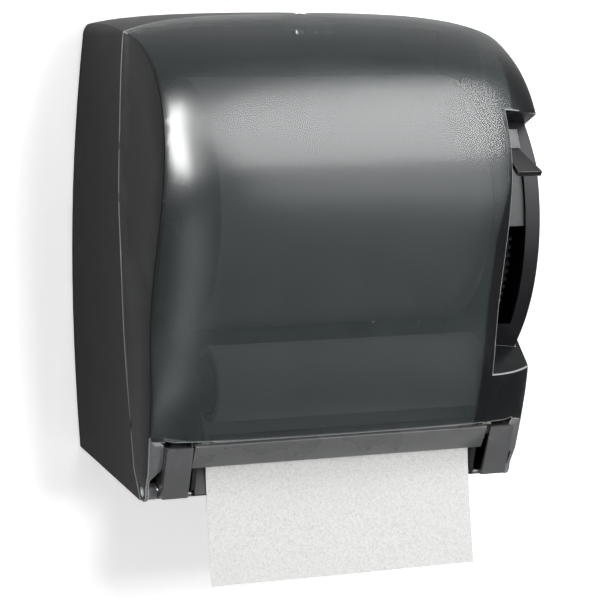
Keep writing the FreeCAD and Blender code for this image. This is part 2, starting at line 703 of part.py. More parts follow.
def lever_tower():
    """Housing with the slotted, arched face that the lever works in."""
    inner_x, outer_x, wall = mm("dims.tower_inner_x"), mm("dims.tower_outer_x"), mm("dims.tower_wall")
    y, z = mm(PIVOT_Y), mm(PIVOT_Z)
    radius = mm("dims.tower_face_radius")
    top, bottom = level(mm("dims.tower_top_height")), level(mm("dims.tower_bottom_height"))
    back = -mm("dims.back_wall")

    outer_wall = mm("dims.tower_outer_wall")

    def hollow(radius, x_from, x_to, top, back):
        case = side_prism([(back, bottom), (back, top), (y - 200, top), (y - 200, bottom)], x_from, x_to)
        behind = side_prism([(back, bottom), (back, top), (y, top), (y, bottom)], x_from, x_to)
        return case.common(cylinder_x(radius, x_from, x_to, y, z)).fuse(behind)

    shell = hollow(radius, inner_x, outer_x, top, back)
    inside = hollow(radius - wall, inner_x + wall, outer_x - outer_wall, top - wall, back - wall)
    taper_z = level(mm("dims.tower_taper_height"))
    lean = [Vector(outer_x, -CASE_REACH, taper_z), Vector(outer_x - mm("dims.tower_taper"), -CASE_REACH, top),
            Vector(outer_x + 1, -CASE_REACH, top), Vector(outer_x, -CASE_REACH, taper_z)]
    taper = Part.Face(Part.makePolygon(lean)).extrude(Vector(0, CASE_REACH, 0))
    slot = Part.makeBox(mm("dims.slot_outer_x - dims.slot_inner_x"), 200.0,
                        mm("dims.slot_top_height - dims.slot_bottom_height"),
                        Vector(mm("dims.slot_inner_x"), y - 200, level(mm("dims.slot_bottom_height"))))
    bore = mm("dims.lever_shaft_radius + dims.bush_wall")
    wheel = mm("(dims.idler_gear_teeth / 2 + 1) * dims.gear_module") + 1.0
    relief = cylinder_x(wheel, inner_x + wall, outer_x - outer_wall, mm(IDLER_Y), mm(IDLER_Z))
    tower = shell.cut([inside, slot, relief, taper])
    for depth, height in TOWER_SCREWS:
        tower = tower.cut(cylinder_x(mm("dims.screw_radius"), inner_x - 1, inner_x + wall, -depth, level(height)))
    solid("lever_tower", tower.cut(cylinder_x(bore, inner_x - 1, outer_x + 1, y, z)).removeSplitter())


def lever_bushes():
    """Flanged bushes that the lever's shaft turns in, one in each tower wall."""
    bore = "dims.lever_shaft_radius + dims.running_fit"
    sleeve = "dims.lever_shaft_radius + dims.bush_wall"
    inner = ("dims.tower_inner_x", "dims.tower_inner_x + dims.tower_wall + dims.bush_flange",
             "dims.tower_inner_x + dims.tower_wall", "dims.tower_inner_x + dims.tower_wall + dims.bush_flange")
    outer_face = "dims.tower_outer_x - dims.tower_outer_wall"
    outer = (f"{outer_face} - dims.bush_flange", "dims.tower_outer_x", f"{outer_face} - dims.bush_flange", outer_face)
    for place, (x_from, x_to, flange_from, flange_to) in {"inner": inner, "outer": outer}.items():
        name = f"lever_bush_{place}"
        body = rod(f"{name}_sleeve", sleeve, x_from, x_to, PIVOT_Y, PIVOT_Z)
        flange = rod(f"{name}_flange", f"{sleeve} + 2", flange_from, flange_to, PIVOT_Y, PIVOT_Z)
        hole = rod(f"{name}_bore", bore, f"{x_from} - 1", f"{x_to} + 1", PIVOT_Y, PIVOT_Z)
        cut(name, fuse(f"{name}_blank", body, flange), hole)


def lever_bar(inner, outer, width, x_from, x_to, angle):
    """A flat bar that points from the pivot at an angle above level."""
    y, z = mm(PIVOT_Y), mm(PIVOT_Z)
    bar = Part.makeBox(x_to - x_from, outer - inner, width, Vector(x_from, y - outer, z - width / 2))
    bar.rotate(Vector(0, y, z), Vector(1, 0, 0), -angle)
    return bar


def lever_arm():
    """Steel arm from the lever's shaft out through the slot."""
    x, thick = mm("dims.arm_x"), mm("dims.arm_thickness")
    bar = lever_bar(0, mm("dims.arm_reach"), mm("dims.arm_width"), x, x + thick, mm("dims.lever_rest_angle"))
    hub = cylinder_x(mm("dims.arm_hub_radius"), x, x + thick, mm(PIVOT_Y), mm(PIVOT_Z))
    bore = cylinder_x(mm("dims.lever_shaft_radius"), x - 1, x + thick + 1, mm(PIVOT_Y), mm(PIVOT_Z))
    solid("lever_arm", bar.fuse(hub).cut(bore).removeSplitter())
    rod("lever_shaft", "dims.lever_shaft_radius", "dims.tower_inner_x + 0.2", "dims.tower_outer_x - 0.2",
        PIVOT_Y, PIVOT_Z)


def lever_paddle():
    """Hand paddle that is moulded over the end of the arm."""
    x = mm("dims.paddle_inner_x")
    root_width, tip_width = mm("dims.paddle_root_width"), mm("dims.paddle_tip_width")
    thick = mm("dims.paddle_thickness")
    root = Vector(0, -mm("dims.paddle_root_depth"), level(mm("dims.paddle_root_height")))
    tip = Vector(0, -mm("dims.paddle_tip_depth"), level(mm("dims.paddle_tip_height")))
    under = Vector(0, tip.z - root.z, root.y - tip.y).normalize() * thick
    under = under if under.z < 0 else under.negative()
    corners = [root + Vector(x, 0, 0), tip + Vector(x, 0, 0), tip + Vector(x + tip_width, 0, 0),
               root + Vector(x + root_width, 0, 0)]
    plate = Part.Face(Part.makePolygon(corners + corners[:1])).extrude(under)
    arm_angle = mm("dims.lever_rest_angle")
    sleeve = lever_bar(mm("dims.arm_reach") - 7.0, mm("dims.arm_reach") + 3.0, mm("dims.arm_width") + 3.0,
                       x, x + root_width + 1.0, arm_angle)
    rib = side_prism([(root.y + 3, root.z - 6), (tip.y + 3, tip.z - 1), (root.y + 3, root.z - 14)],
                     x + 3.5, x + root_width - 3.0)
    socket = lever_bar(0, mm("dims.arm_reach"), mm("dims.arm_width"), mm("dims.arm_x"),
                       mm("dims.arm_x + dims.arm_thickness"), arm_angle)
    solid("lever_paddle", plate.fuse(sleeve).fuse(rib).cut(socket).removeSplitter())


def slot_shutter():
    """Curved shutter behind the slot, carried by the arm."""
    face = mm("dims.tower_face_radius - dims.tower_wall") - 1.0
    thick = mm("dims.shutter_thickness")
    x_from, x_to = mm("dims.tower_inner_x + dims.tower_wall") + 0.6, mm("dims.slot_outer_x") + 2.0
    y, z = mm(PIVOT_Y), mm(PIVOT_Z)
    ring = cylinder_x(face, x_from, x_to, y, z).cut(cylinder_x(face - thick, x_from - 1, x_to + 1, y, z))
    half = math.degrees(math.asin(mm("dims.arm_width") / 2 / face))
    start = mm("dims.lever_rest_angle") - half
    wedge = [about_pivot(0, 0), about_pivot(200, start), about_pivot(200, start - mm("dims.shutter_angle") - 6)]
    plate = ring.common(side_prism(wedge, x_from, x_to))
    tab = lever_bar(face - 14.0, face - 0.4, 3.0, mm("dims.arm_x"), mm("dims.arm_x") + mm("dims.arm_thickness"),
                    mm("dims.lever_rest_angle") - half - 0.75)
    arm = lever_bar(0, 200, mm("dims.arm_width"), x_from - 1, x_to + 1, mm("dims.lever_rest_angle"))
    solid("slot_shutter", plate.fuse(tab).cut(arm).removeSplitter())


def stop_bumpers():
    """Rubber stops for the arm at both ends of the slot."""
    thick = mm("dims.bumper_thickness")
    offset = mm("dims.arm_width") / 2 + 0.3 + thick / 2
    angles = {"upper": (mm("dims.lever_rest_angle"), 1),
              "lower": (mm("dims.lever_rest_angle - dims.lever_stroke"), -1)}
    y, z = mm(PIVOT_Y), mm(PIVOT_Z)
    for place, (angle, side) in angles.items():
        x = mm("dims.tower_inner_x + dims.tower_wall")
        stop = Part.makeBox(mm("dims.arm_x + dims.arm_thickness") - x, 12.0, thick,
                            Vector(x, y - mm("dims.bumper_reach"), z + side * offset - thick / 2))
        stop.rotate(Vector(0, y, z), Vector(1, 0, 0), -angle)
        solid(f"stop_bumper_{place}", stop)


def return_spring():
    """Torsion spring on the lever's shaft."""
    wire, radius = mm("dims.spring_wire") / 2, mm("dims.spring_radius")
    turns = mm("dims.spring_turns")
    y, z = mm(PIVOT_Y), mm(PIVOT_Z)
    start_x = mm("dims.sector_x + dims.gear_face") + wire + 0.3
    length = (2 * wire + 0.3) * turns

    def on_coil(share):
        angle = 2 * math.pi * turns * share
        return Vector(start_x + length * share, y + radius * math.cos(angle), z + radius * math.sin(angle))

    steps = round(12 * turns)
    line = Part.BSplineCurve()
    line.interpolate([on_coil(step / steps) for step in range(steps + 1)])
    start = line.FirstParameter
    end = Part.Wire(Part.makeCircle(wire, line.value(start), line.tangent(start)[0]))
    solid("lever_return_spring", Part.Wire(line.toShape()).makePipeShell([end], True, True))


# ---------------------------------------------------------------- frames, caps, bar

def frame_outline():
    """Side outline of the two frames that carry the rollers."""
    clearance = mm("dims.frame_floor_clearance")
    wall = mm("dims.shell_wall")

    def floor(depth):
        share = depth / 136.0
        height = mm("dims.floor_back_height") * (1 - share) + mm("dims.floor_front_height") * share
        return height + wall + clearance + 1.1 * (1 - share)

    top = mm("dims.frame_top_height")
    stub = (mm("dims.stub_roll_depth"), mm("dims.stub_roll_height"))
    bar_depth, bar_height = mm("dims.bar_top_depth"), mm("dims.bar_top_height")
    low_depth, low_height = mm("dims.bar_bottom_depth"), mm("dims.bar_bottom_height")
    thick = mm("dims.bar_thickness") / math.cos(math.atan2(bar_depth - low_depth, bar_height - low_height))
    return [(3.0, floor(3.0)), (3.0, top), (70.0, top), (stub[0] - 12, stub[1] + 12), (stub[0] + 4, stub[1] + 8),
            (stub[0] + 8, stub[1] + 3), (stub[0] + 8, stub[1] - 5), (bar_depth - thick, bar_height + 9),
            (bar_depth - thick, bar_height), (low_depth - thick, low_height), (low_depth - 9, 8.0),
            (120.0, floor(120.0))]


# Screws from each side frame's feet into the back wall: height.
FOOT_SCREWS = (34.0, 76.0)
# Screws from the right frame into the lever tower: depth, height.
TOWER_SCREWS = ((30.0, 108.0), (62.0, 108.0))


def side_frames():
    """Left and right side frames."""
    x_from, x_to = mm("dims.frame_inner_x"), mm(FRAME_OUTER)
    plate = side_prism([(-depth, level(height)) for depth, height in frame_outline()], x_from, x_to)
    holes = [(DRIVE_Y, DRIVE_Z, mm("dims.drive_shaft_radius + dims.bush_wall")),
             (STUB_Y, STUB_Z, 4.0)]
    for y, z, radius in holes:
        plate = plate.cut(cylinder_x(radius, x_from - 1, x_to + 1, mm(y), mm(z)))
    pinch_y, pinch_z = mm(PINCH_Y), mm(DRIVE_Z)
    guide = Part.makeBox(20.0, 9.0, 9.0, Vector(x_from - 5, pinch_y - 4.5, pinch_z - 4.5))
    plate = plate.cut(guide)
    back = -mm("dims.back_wall")
    foot, tall, thick = mm("dims.foot_width"), mm("dims.foot_height"), mm("dims.foot_thickness")
    for height in FOOT_SCREWS:
        plate = plate.fuse(Part.makeBox(foot + 1.0, thick, tall, Vector(x_from - foot, back - thick, level(height) - tall / 2)))
        plate = plate.cut(Part.makeCylinder(mm("dims.screw_radius"), thick, Vector(x_from - foot / 2, back, level(height)),
                                            Vector(0, -1, 0)))
    solid("side_frame_left", plate.mirror(Vector(), Vector(1, 0, 0)).removeSplitter())
    plate = plate.cut(cylinder_x(mm("dims.idler_shaft_radius"), x_from - 1, x_to + 1, mm(IDLER_Y), mm(IDLER_Z)))
    for depth, height in TOWER_SCREWS:
        plate = plate.cut(cylinder_x(mm("dims.screw_radius"), x_from - 1, x_to + 1, -depth, level(height)))
    solid("side_frame_right", plate.removeSplitter())


def end_cap(name, sign):
    """Cap that closes one end of the feed module and holds the hinge pin."""
    wall = mm("dims.cap_wall")
    inner_x, outer_x = mm("dims.cap_inner_x"), mm("dims.cap_outer_x")
    top = (mm("dims.cap_top_depth"), mm("dims.cap_top_height"))
    bottom = (mm("dims.cap_bottom_depth"), mm("dims.cap_bottom_height"))
    back = mm("dims.module_back_depth")
    outline = [top, bottom, (back, bottom[1]), (back, top[1])]
    skin = [(top[0] - wall, top[1] - wall), (bottom[0] - wall, bottom[1] + wall), (back - 1, bottom[1] + wall),
            (back - 1, top[1] - wall)]
    lid = [(top[0] - 12, top[1] - wall - 1), (top[0] - 12, top[1] + 1), (back - 1, top[1] + 1),
           (back - 1, top[1] - wall - 1)]

    def prism(points, x_from, x_to):
        return side_prism([(-depth, level(height)) for depth, height in points], x_from, x_to)

    cap = prism(outline, inner_x, outer_x).cut(prism(skin, inner_x - 1, outer_x - wall))
    cap = cap.cut(prism(lid, inner_x - 1, outer_x - wall))
    foot = [(bottom[0] - 6, bottom[1]), (bottom[0] - 6, bottom[1] + wall), (back, bottom[1] + wall), (back, bottom[1])]
    cap = cap.fuse(prism(foot, mm(FRAME_OUTER), inner_x + 1))
    y, z = mm(HINGE_Y), mm(HINGE_Z)
    cap = cap.fuse(cylinder_x(mm("dims.hinge_boss_radius"), outer_x - 8.0, outer_x, y, z))
    cap = cap.cut(cylinder_x(mm("dims.hinge_pin_radius"), outer_x - 8.0, outer_x + 1, y, z))
    cap = cap if sign > 0 else cap.mirror(Vector(), Vector(1, 0, 0))
    solid(name, cap.removeSplitter())


def bar_outline(thickness, extra=0.0):
    """Side outline of the front bar as (y, z) points."""
    top = Vector(0, -mm("dims.bar_top_depth"), level(mm("dims.bar_top_height")))
    bottom = Vector(0, -mm("dims.bar_bottom_depth"), level(mm("dims.bar_bottom_height")))
    run = (bottom - top).normalize()
    back = Vector(0, -run.z, run.y) * thickness
    back = back if back.y > 0 else back.negative()
    bottom = bottom - run * extra
    return [(point.y, point.z) for point in (top, bottom, bottom + back, top + back)]


def front_bar():
    """Front bar of the feed module, with a stiffening flange along its top."""
    half = mm("dims.bar_half_length")
    plate = side_prism(bar_outline(mm("dims.bar_thickness")), -half, half)
    top_y, top_z = -mm("dims.bar_top_depth"), level(mm("dims.bar_top_height"))
    inner = mm("dims.frame_inner_x") - 0.4
    flange = Part.makeBox(2 * inner, mm("dims.bar_flange_depth"), 2.0, Vector(-inner, top_y + 2.0, top_z - 2.0))
    solid("front_bar", plate.fuse(flange).removeSplitter())


def tear_blade():
    """Serrated steel strip behind the lower edge of the bar."""
    top = Vector(0, -mm("dims.bar_top_depth"), level(mm("dims.bar_top_height")))
    bottom = Vector(0, -mm("dims.bar_bottom_depth"), level(mm("dims.bar_bottom_height")))
    run = (bottom - top).normalize()
    back = Vector(0, -run.z, run.y)
    back = back if back.y > 0 else back.negative()
    start = bottom + back * mm("dims.bar_thickness")
    thick, width = mm("dims.blade_thickness"), mm("dims.blade_width")
    pitch, tooth = mm("dims.blade_pitch"), mm("dims.blade_tooth")
    half = mm("dims.frame_inner_x") - 0.6
    count = int(2 * half / pitch)
    edge = []
    for index in range(count):
        x = -count * pitch / 2 + index * pitch
        edge += [start - run * 0.5 + Vector(x, 0, 0), start + run * (tooth - 0.5) + Vector(x + pitch / 2, 0, 0)]
    last = start - run * 0.5 + Vector(count * pitch / 2, 0, 0)
    back_edge = [last - run * width, edge[0] - run * width]
    outline = edge + [last] + back_edge
    solid("tear_blade", Part.Face(Part.makePolygon(outline + outline[:1])).extrude(back * thick))


def paper_chute():
    """Rear guide plate below the rollers, with its floor."""
    bottom_depth, top_depth = mm("dims.chute_bottom_depth"), mm("dims.chute_top_depth")
    bottom, top = mm("dims.cap_bottom_height"), mm("dims.chute_top_height")
    back, wall = mm("dims.module_back_depth"), mm("dims.chute_wall")
    outline = [(bottom_depth, bottom), (top_depth, top), (top_depth - wall, top),
               (bottom_depth - wall - 0.4, bottom + wall), (back, bottom + wall), (back, bottom)]
    half = mm("dims.frame_inner_x")
    solid("paper_chute", side_prism([(-depth, level(height)) for depth, height in outline], -half, half))


# ---------------------------------------------------------------- rollers

def drive_roller():
    """Drive shaft with its rubber sleeves, bushes and feed knob."""
    bush_out = "dims.drive_shaft_radius + dims.bush_wall"
    left_end = f"-{FRAME_OUTER} - dims.knob_width - 4"
    rod("drive_shaft", "dims.drive_shaft_radius", left_end, "dims.idler_gear_x + dims.gear_face + 8", DRIVE_Y, DRIVE_Z)
    for side, sign in SIDES.items():
        name = f"drive_bush_{side}"
        x_from, x_to = ("dims.frame_inner_x - dims.bush_flange", FRAME_OUTER)
        flange_from, flange_to = ("dims.frame_inner_x - dims.bush_flange", "dims.frame_inner_x")
        if sign < 0:
            x_from, x_to = (f"-{FRAME_OUTER}", "-dims.frame_inner_x + dims.bush_flange")
            flange_from, flange_to = ("-dims.frame_inner_x", "-dims.frame_inner_x + dims.bush_flange")
        sleeve = rod(f"{name}_sleeve", bush_out, x_from, x_to, DRIVE_Y, DRIVE_Z)
        flange = rod(f"{name}_flange", f"{bush_out} + 2", flange_from, flange_to, DRIVE_Y, DRIVE_Z)
        hole = rod(f"{name}_bore", "dims.drive_shaft_radius + dims.running_fit", f"{x_from} - 1", f"{x_to} + 1",
                   DRIVE_Y, DRIVE_Z)
        cut(name, fuse(f"{name}_blank", sleeve, flange), hole)
    drum = rod("drive_drum_body", "dims.drive_roller_radius - dims.sleeve_wall", f"{PAPER_LEFT} + 2",
               f"{PAPER_RIGHT} - 2", DRIVE_Y, DRIVE_Z)
    core = rod("drive_drum_bore", "dims.drive_shaft_radius", f"{PAPER_LEFT}", f"{PAPER_RIGHT}", DRIVE_Y, DRIVE_Z)
    cut("drive_drum", drum, core)
    sleeves = []
    for index, share in enumerate((-0.36, 0.0, 0.36)):
        middle = f"(dims.paper_shift + dims.paper_width * {share})"
        x_from, x_to = f"{middle} - dims.drive_sleeve_length / 2", f"{middle} + dims.drive_sleeve_length / 2"
        rubber = rod(f"drive_sleeve_{index}", "dims.drive_roller_radius", x_from, x_to, DRIVE_Y, DRIVE_Z)
        hole = rod(f"drive_sleeve_bore_{index}", "dims.drive_roller_radius - dims.sleeve_wall", f"{x_from} - 1",
                   f"{x_to} + 1", DRIVE_Y, DRIVE_Z)
        sleeves.append(cut(f"drive_sleeve_ring_{index}", rubber, hole))
    group = doc.addObject("Part::Compound", "drive_sleeves")
    group.Links = sleeves
    knob = rod("feed_knob_body", "dims.knob_radius", f"{left_end} + 2", f"{left_end} + 2 + dims.knob_width",
               DRIVE_Y, DRIVE_Z)
    knob_bore = rod("feed_knob_bore", "dims.drive_shaft_radius", f"{left_end}", f"-{FRAME_OUTER}", DRIVE_Y, DRIVE_Z)
    flutes = []
    for index in range(16):
        turn = f"({index} * 22.5)"
        flutes.append(rod(f"feed_knob_flute_{index}", "1.5", f"{left_end} - 1", f"-{FRAME_OUTER}",
                          f"{DRIVE_Y} + (dims.knob_radius + 0.4) * cos{turn}",
                          f"{DRIVE_Z} + (dims.knob_radius + 0.4) * sin{turn}"))
    cut("feed_knob", knob, knob_bore, *flutes)


def pinch_roller():
    """Pinch roller with its sliding blocks and leaf springs."""
    half = "(dims.frame_inner_x - 0.6)"
    rod("pinch_shaft", "dims.pinch_shaft_radius", f"-{FRAME_OUTER} + 0.2", f"{FRAME_OUTER} - 0.2", PINCH_Y, DRIVE_Z)
    tube = rod("pinch_roller_body", "dims.pinch_roller_radius", f"{PAPER_LEFT} + 2", f"{PAPER_RIGHT} - 2",
               PINCH_Y, DRIVE_Z)
    bore = rod("pinch_roller_bore", "dims.pinch_shaft_radius", f"-{half}", half, PINCH_Y, DRIVE_Z)
    cut("pinch_roller", tube, bore)
    for side, sign in SIDES.items():
        x_from, x_to = ("dims.frame_inner_x", FRAME_OUTER) if sign > 0 else (f"-{FRAME_OUTER}", "-dims.frame_inner_x")
        body = block(f"pinch_block_{side}_body", x_from, x_to, f"{PINCH_Y} - 4.4", f"{PINCH_Y} + 4.4",
                     f"{DRIVE_Z} - 4.4", f"{DRIVE_Z} + 4.4")
        hole = rod(f"pinch_block_{side}_bore", "dims.pinch_shaft_radius + dims.running_fit", f"{x_from} - 1",
                   f"{x_to} + 1", PINCH_Y, DRIVE_Z)
        cut(f"pinch_block_{side}", body, hole)


# ---------------------------------------------------------------- towels

def towel_roll(name, radius, y, z):
    """A wound roll and the core that it is wound on."""
    paper = rod(f"{name}_body", radius, PAPER_LEFT, PAPER_RIGHT, y, z)
    hole = rod(f"{name}_hole", "dims.core_radius", f"{PAPER_LEFT} - 1", f"{PAPER_RIGHT} + 1", y, z)
    cut(name, paper, hole)
    tube = rod(f"{name}_core_body", "dims.core_radius", PAPER_LEFT, PAPER_RIGHT, y, z)
    bore = rod(f"{name}_core_bore", "dims.core_radius - dims.core_wall", f"{PAPER_LEFT} - 1", f"{PAPER_RIGHT} + 1",
               y, z)
    cut(f"{name}_core", tube, bore)


def plug(name, y, z, sign):
    """Tapered plug that enters the end of a core."""
    cone = doc.addObject("Part::Cone", name)
    bind(cone, Radius1="dims.plug_radius", Radius2="dims.plug_tip_radius", Height="dims.arm_gap + dims.plug_length")
    x_face = RIGHT_ARM_X if sign > 0 else f"({PAPER_LEFT} - dims.arm_gap)"
    return seat(cone, x_face, y, z, Rotation(Vector(0, 1, 0), -90 * sign))


def roll_arms():
    """Arms, plugs and hinge pin that hold the main roll."""
    half = "dims.roll_arm_height / 2"
    tip = f"{MAIN_Y} - {half}"
    left_in = f"({PAPER_LEFT} - dims.arm_gap)"
    left_out = f"({left_in} - dims.roll_arm_thickness)"
    plate = block("roll_arm_left_plate", left_out, left_in, tip, f"-dims.roll_arm_hinge_depth", f"{MAIN_Z} - {half}",
                  f"{MAIN_Z} + {half}")
    knuckle = post("roll_arm_left_knuckle", "dims.roll_arm_knuckle_radius", ARM_HINGE_X, out("roll_arm_hinge_depth"),
                   f"{MAIN_Z} - {half}", f"{MAIN_Z} + {half}")
    bore = post("roll_arm_left_bore", "dims.roll_arm_pin_radius + dims.running_fit", ARM_HINGE_X,
                out("roll_arm_hinge_depth"), f"{MAIN_Z} - {half} - 1", f"{MAIN_Z} + {half} + 1")
    cut("roll_arm_left", fuse("roll_arm_left_blank", plate, knuckle), bore)
    post("roll_arm_pin", "dims.roll_arm_pin_radius", ARM_HINGE_X, out("roll_arm_hinge_depth"),
         f"{MAIN_Z} - {half} - 4.4", f"{MAIN_Z} + {half} + 4.4")
    block("roll_arm_right", RIGHT_ARM_X, f"{RIGHT_ARM_X} + dims.roll_arm_thickness", tip, "-dims.back_wall",
          f"{MAIN_Z} - {half}", f"{MAIN_Z} + {half}")
    plug("roll_plug_left", MAIN_Y, MAIN_Z, -1)
    plug("roll_plug_right", MAIN_Y, MAIN_Z, 1)


def stub_plugs():
    """Plugs on the side frames that the stub roll turns on."""
    head = plug("stub_plug_right_head", STUB_Y, STUB_Z, 1)
    peg = rod("stub_plug_right_peg", "4", "dims.frame_inner_x", FRAME_OUTER, STUB_Y, STUB_Z)
    fuse("stub_plug_right", head, peg)
    head = plug("stub_plug_left_head", STUB_Y, STUB_Z, -1)
    collar = rod("stub_plug_left_collar", "dims.plug_radius", "-dims.frame_inner_x", f"{PAPER_LEFT} - dims.arm_gap",
                 STUB_Y, STUB_Z)
    peg = rod("stub_plug_left_peg", "4", f"-{FRAME_OUTER}", "-dims.frame_inner_x", STUB_Y, STUB_Z)
    fuse("stub_plug_left", head, collar, peg)


# Fall of the towel below the nip: how far forward (negative) and how far down.
EXIT_LINE = [(-0.3, 14.0), (-1.1, 30.0), (-4.6, 55.0), (-9.2, 80.0)]


def towel_web():
    """Towel from the stub roll round the drive roller, through the nip and out to its free end."""
    thick = mm("dims.sheet_thickness")
    drive = Vector(0, mm(DRIVE_Y), mm(DRIVE_Z))
    roll = Vector(0, mm(STUB_Y), mm(STUB_Z))
    wrap = mm("dims.drive_roller_radius + dims.nip_gap / 2")
    wound = mm("dims.stub_roll_radius") + 0.3 + thick / 2
    reach = roll - drive
    line = math.atan2(reach.z, reach.y) - math.asin((wrap + wound) / reach.Length)

    def on_drive(angle):
        return drive + Vector(0, math.cos(angle), math.sin(angle)) * wrap

    touch = line + math.pi / 2
    leave = roll - Vector(0, math.cos(touch), math.sin(touch)) * wound
    nip = on_drive(math.pi)
    bend = Part.Arc(on_drive(touch), on_drive((touch + math.pi) / 2), nip).toShape()
    fall = [nip] + [nip + Vector(0, dy, -dz) for dy, dz in EXIT_LINE]
    fall.append(Vector(0, nip.y - 13.0, level(-mm("dims.sheet_drop"))))
    curve = Part.BSplineCurve()
    curve.interpolate(Points=fall, InitialTangent=Vector(0, 0, -1), FinalTangent=Vector(0, -0.2, -1))
    path = Part.Wire([Part.makeLine(leave, on_drive(touch)), bend, curve.toShape()])
    left, right = mm(PAPER_LEFT), mm(PAPER_RIGHT)
    path.translate(Vector(left, -thick / 2, 0))
    strips = [face.extrude(Vector(0, thick, 0)) for face in path.extrude(Vector(right - left, 0, 0)).Faces]
    solid("towel_web", strips[0].fuse(strips[1:]).removeSplitter())


# ---------------------------------------------------------------- fasteners

def screw(point, direction, length):
    """A slotted pan-head screw whose head's underside sits at a point."""
    head_radius, head_height = mm("dims.screw_head_radius"), mm("dims.screw_head_height")
    head = Part.makeCylinder(head_radius, head_height, point, -direction)
    shank = Part.makeCylinder(mm("dims.screw_radius"), length, point, direction)
    across = Vector(0, 0, 1)
    along = direction.cross(across)
    slot = Part.makeBox(1.0, 2 * head_radius, 1.0, Vector(-0.5, -head_radius, 0))
    slot.Placement = Placement(point - direction * head_height, Rotation(across, along, direction, "ZYX"))
    return head.fuse(shank).cut(slot)


def module_screws():
    """Screws that hold the side frames to the back wall and the tower to the right frame."""
    foot = mm("dims.back_wall + dims.foot_thickness")
    x_foot = mm("dims.frame_inner_x - dims.foot_width / 2")
    screws = [screw(Vector(x, -foot, level(height)), Vector(0, 1, 0), foot - 1.0)
              for x in (-x_foot, x_foot) for height in FOOT_SCREWS]
    grip = mm("dims.frame_thickness + dims.tower_wall")
    screws += [screw(Vector(mm("dims.frame_inner_x"), -depth, level(height)), Vector(1, 0, 0), grip)
               for depth, height in TOWER_SCREWS]
    solid("frame_screws", Part.makeCompound(screws))


# ---------------------------------------------------------------- build and check

NODES = [
    "back_housing", "front_cover", "hinge_pin_left", "hinge_pin_right", "lock_barrel", "lock_hook", "lock_keeper",
    "side_frame_left", "side_frame_right", "end_cap_left", "end_cap_right", "front_bar", "tear_blade",
    "paper_chute", "lever_tower", "lever_shaft", "lever_arm", "lever_paddle", "slot_shutter", "sector_gear",
    "lever_bush_inner", "lever_bush_outer", "lever_return_spring", "stop_bumper_upper", "stop_bumper_lower",
    "idler_axle", "idler_gear", "drive_pinion", "drive_shaft", "drive_drum", "drive_sleeves",
    "drive_bush_left", "drive_bush_right", "feed_knob", "pinch_shaft", "pinch_roller", "pinch_block_left",
    "pinch_block_right", "roll_arm_left", "roll_arm_right", "roll_arm_pin", "roll_plug_left",
    "roll_plug_right", "stub_plug_left", "stub_plug_right", "main_roll", "main_roll_core", "stub_roll",
    "stub_roll_core", "towel_web", "frame_screws",
]


def build():
    """Make every piece of the dispenser."""
    outside, inside = case_shapes()
    back_housing(outside, inside)
    front_cover(outside, inside)
    lock_keeper(inside)
    hinge_pins()
    lock()
    side_frames()
    for side, sign in SIDES.items():
        end_cap(f"end_cap_{side}", sign)
    front_bar()
    tear_blade()
    paper_chute()
    lever_tower()
    lever_bushes()
    lever_arm()
    lever_paddle()
    slot_shutter()
    stop_bumpers()
    return_spring()
    sector_gear()
    idler()
    drive_pinion()
    drive_roller()
    pinch_roller()
    towel_roll("main_roll", "dims.main_roll_radius", MAIN_Y, MAIN_Z)
    towel_roll("stub_roll", "dims.stub_roll_radius", STUB_Y, STUB_Z)
    roll_arms()
    stub_plugs()
    towel_web()
    module_screws()
    doc.recompute()


def check_and_export():
    """Refuse a failed feature or a bad shape, then write one file for each piece."""
    for item in doc.Objects:
        if "Invalid" in item.State or "Error" in item.State:
            raise RuntimeError(f"{item.Name} did not compute: {item.State}")
    pieces = {}
    for name in NODES:
        piece = doc.getObject(name)
        piece.Label = name
        shape = piece.Shape
        if shape.isNull() or not shape.isValid() or not shape.Solids:
            raise RuntimeError(f"{name} has no valid solid")
        pieces[name] = shape
    for name, shape in pieces.items():
        shape.exportStep(f"parts/{name}.step")
        box = shape.BoundBox
        print(f"{name:22s} solids {len(shape.Solids):2d} volume {shape.Volume:11.1f} "
              f"x {box.XMin:7.1f} {box.XMax:7.1f} y {box.YMin:7.1f} {box.YMax:7.1f} "
              f"z {box.ZMin:7.1f} {box.ZMax:7.1f}")


build()
check_and_export()
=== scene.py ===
"""Dresses a wall-mounted lever towel dispenser: cover, case, lever, towel, rolls and works."""

from __future__ import annotations

import json
import logging
import math
from dataclasses import dataclass, field
from enum import Enum, IntEnum

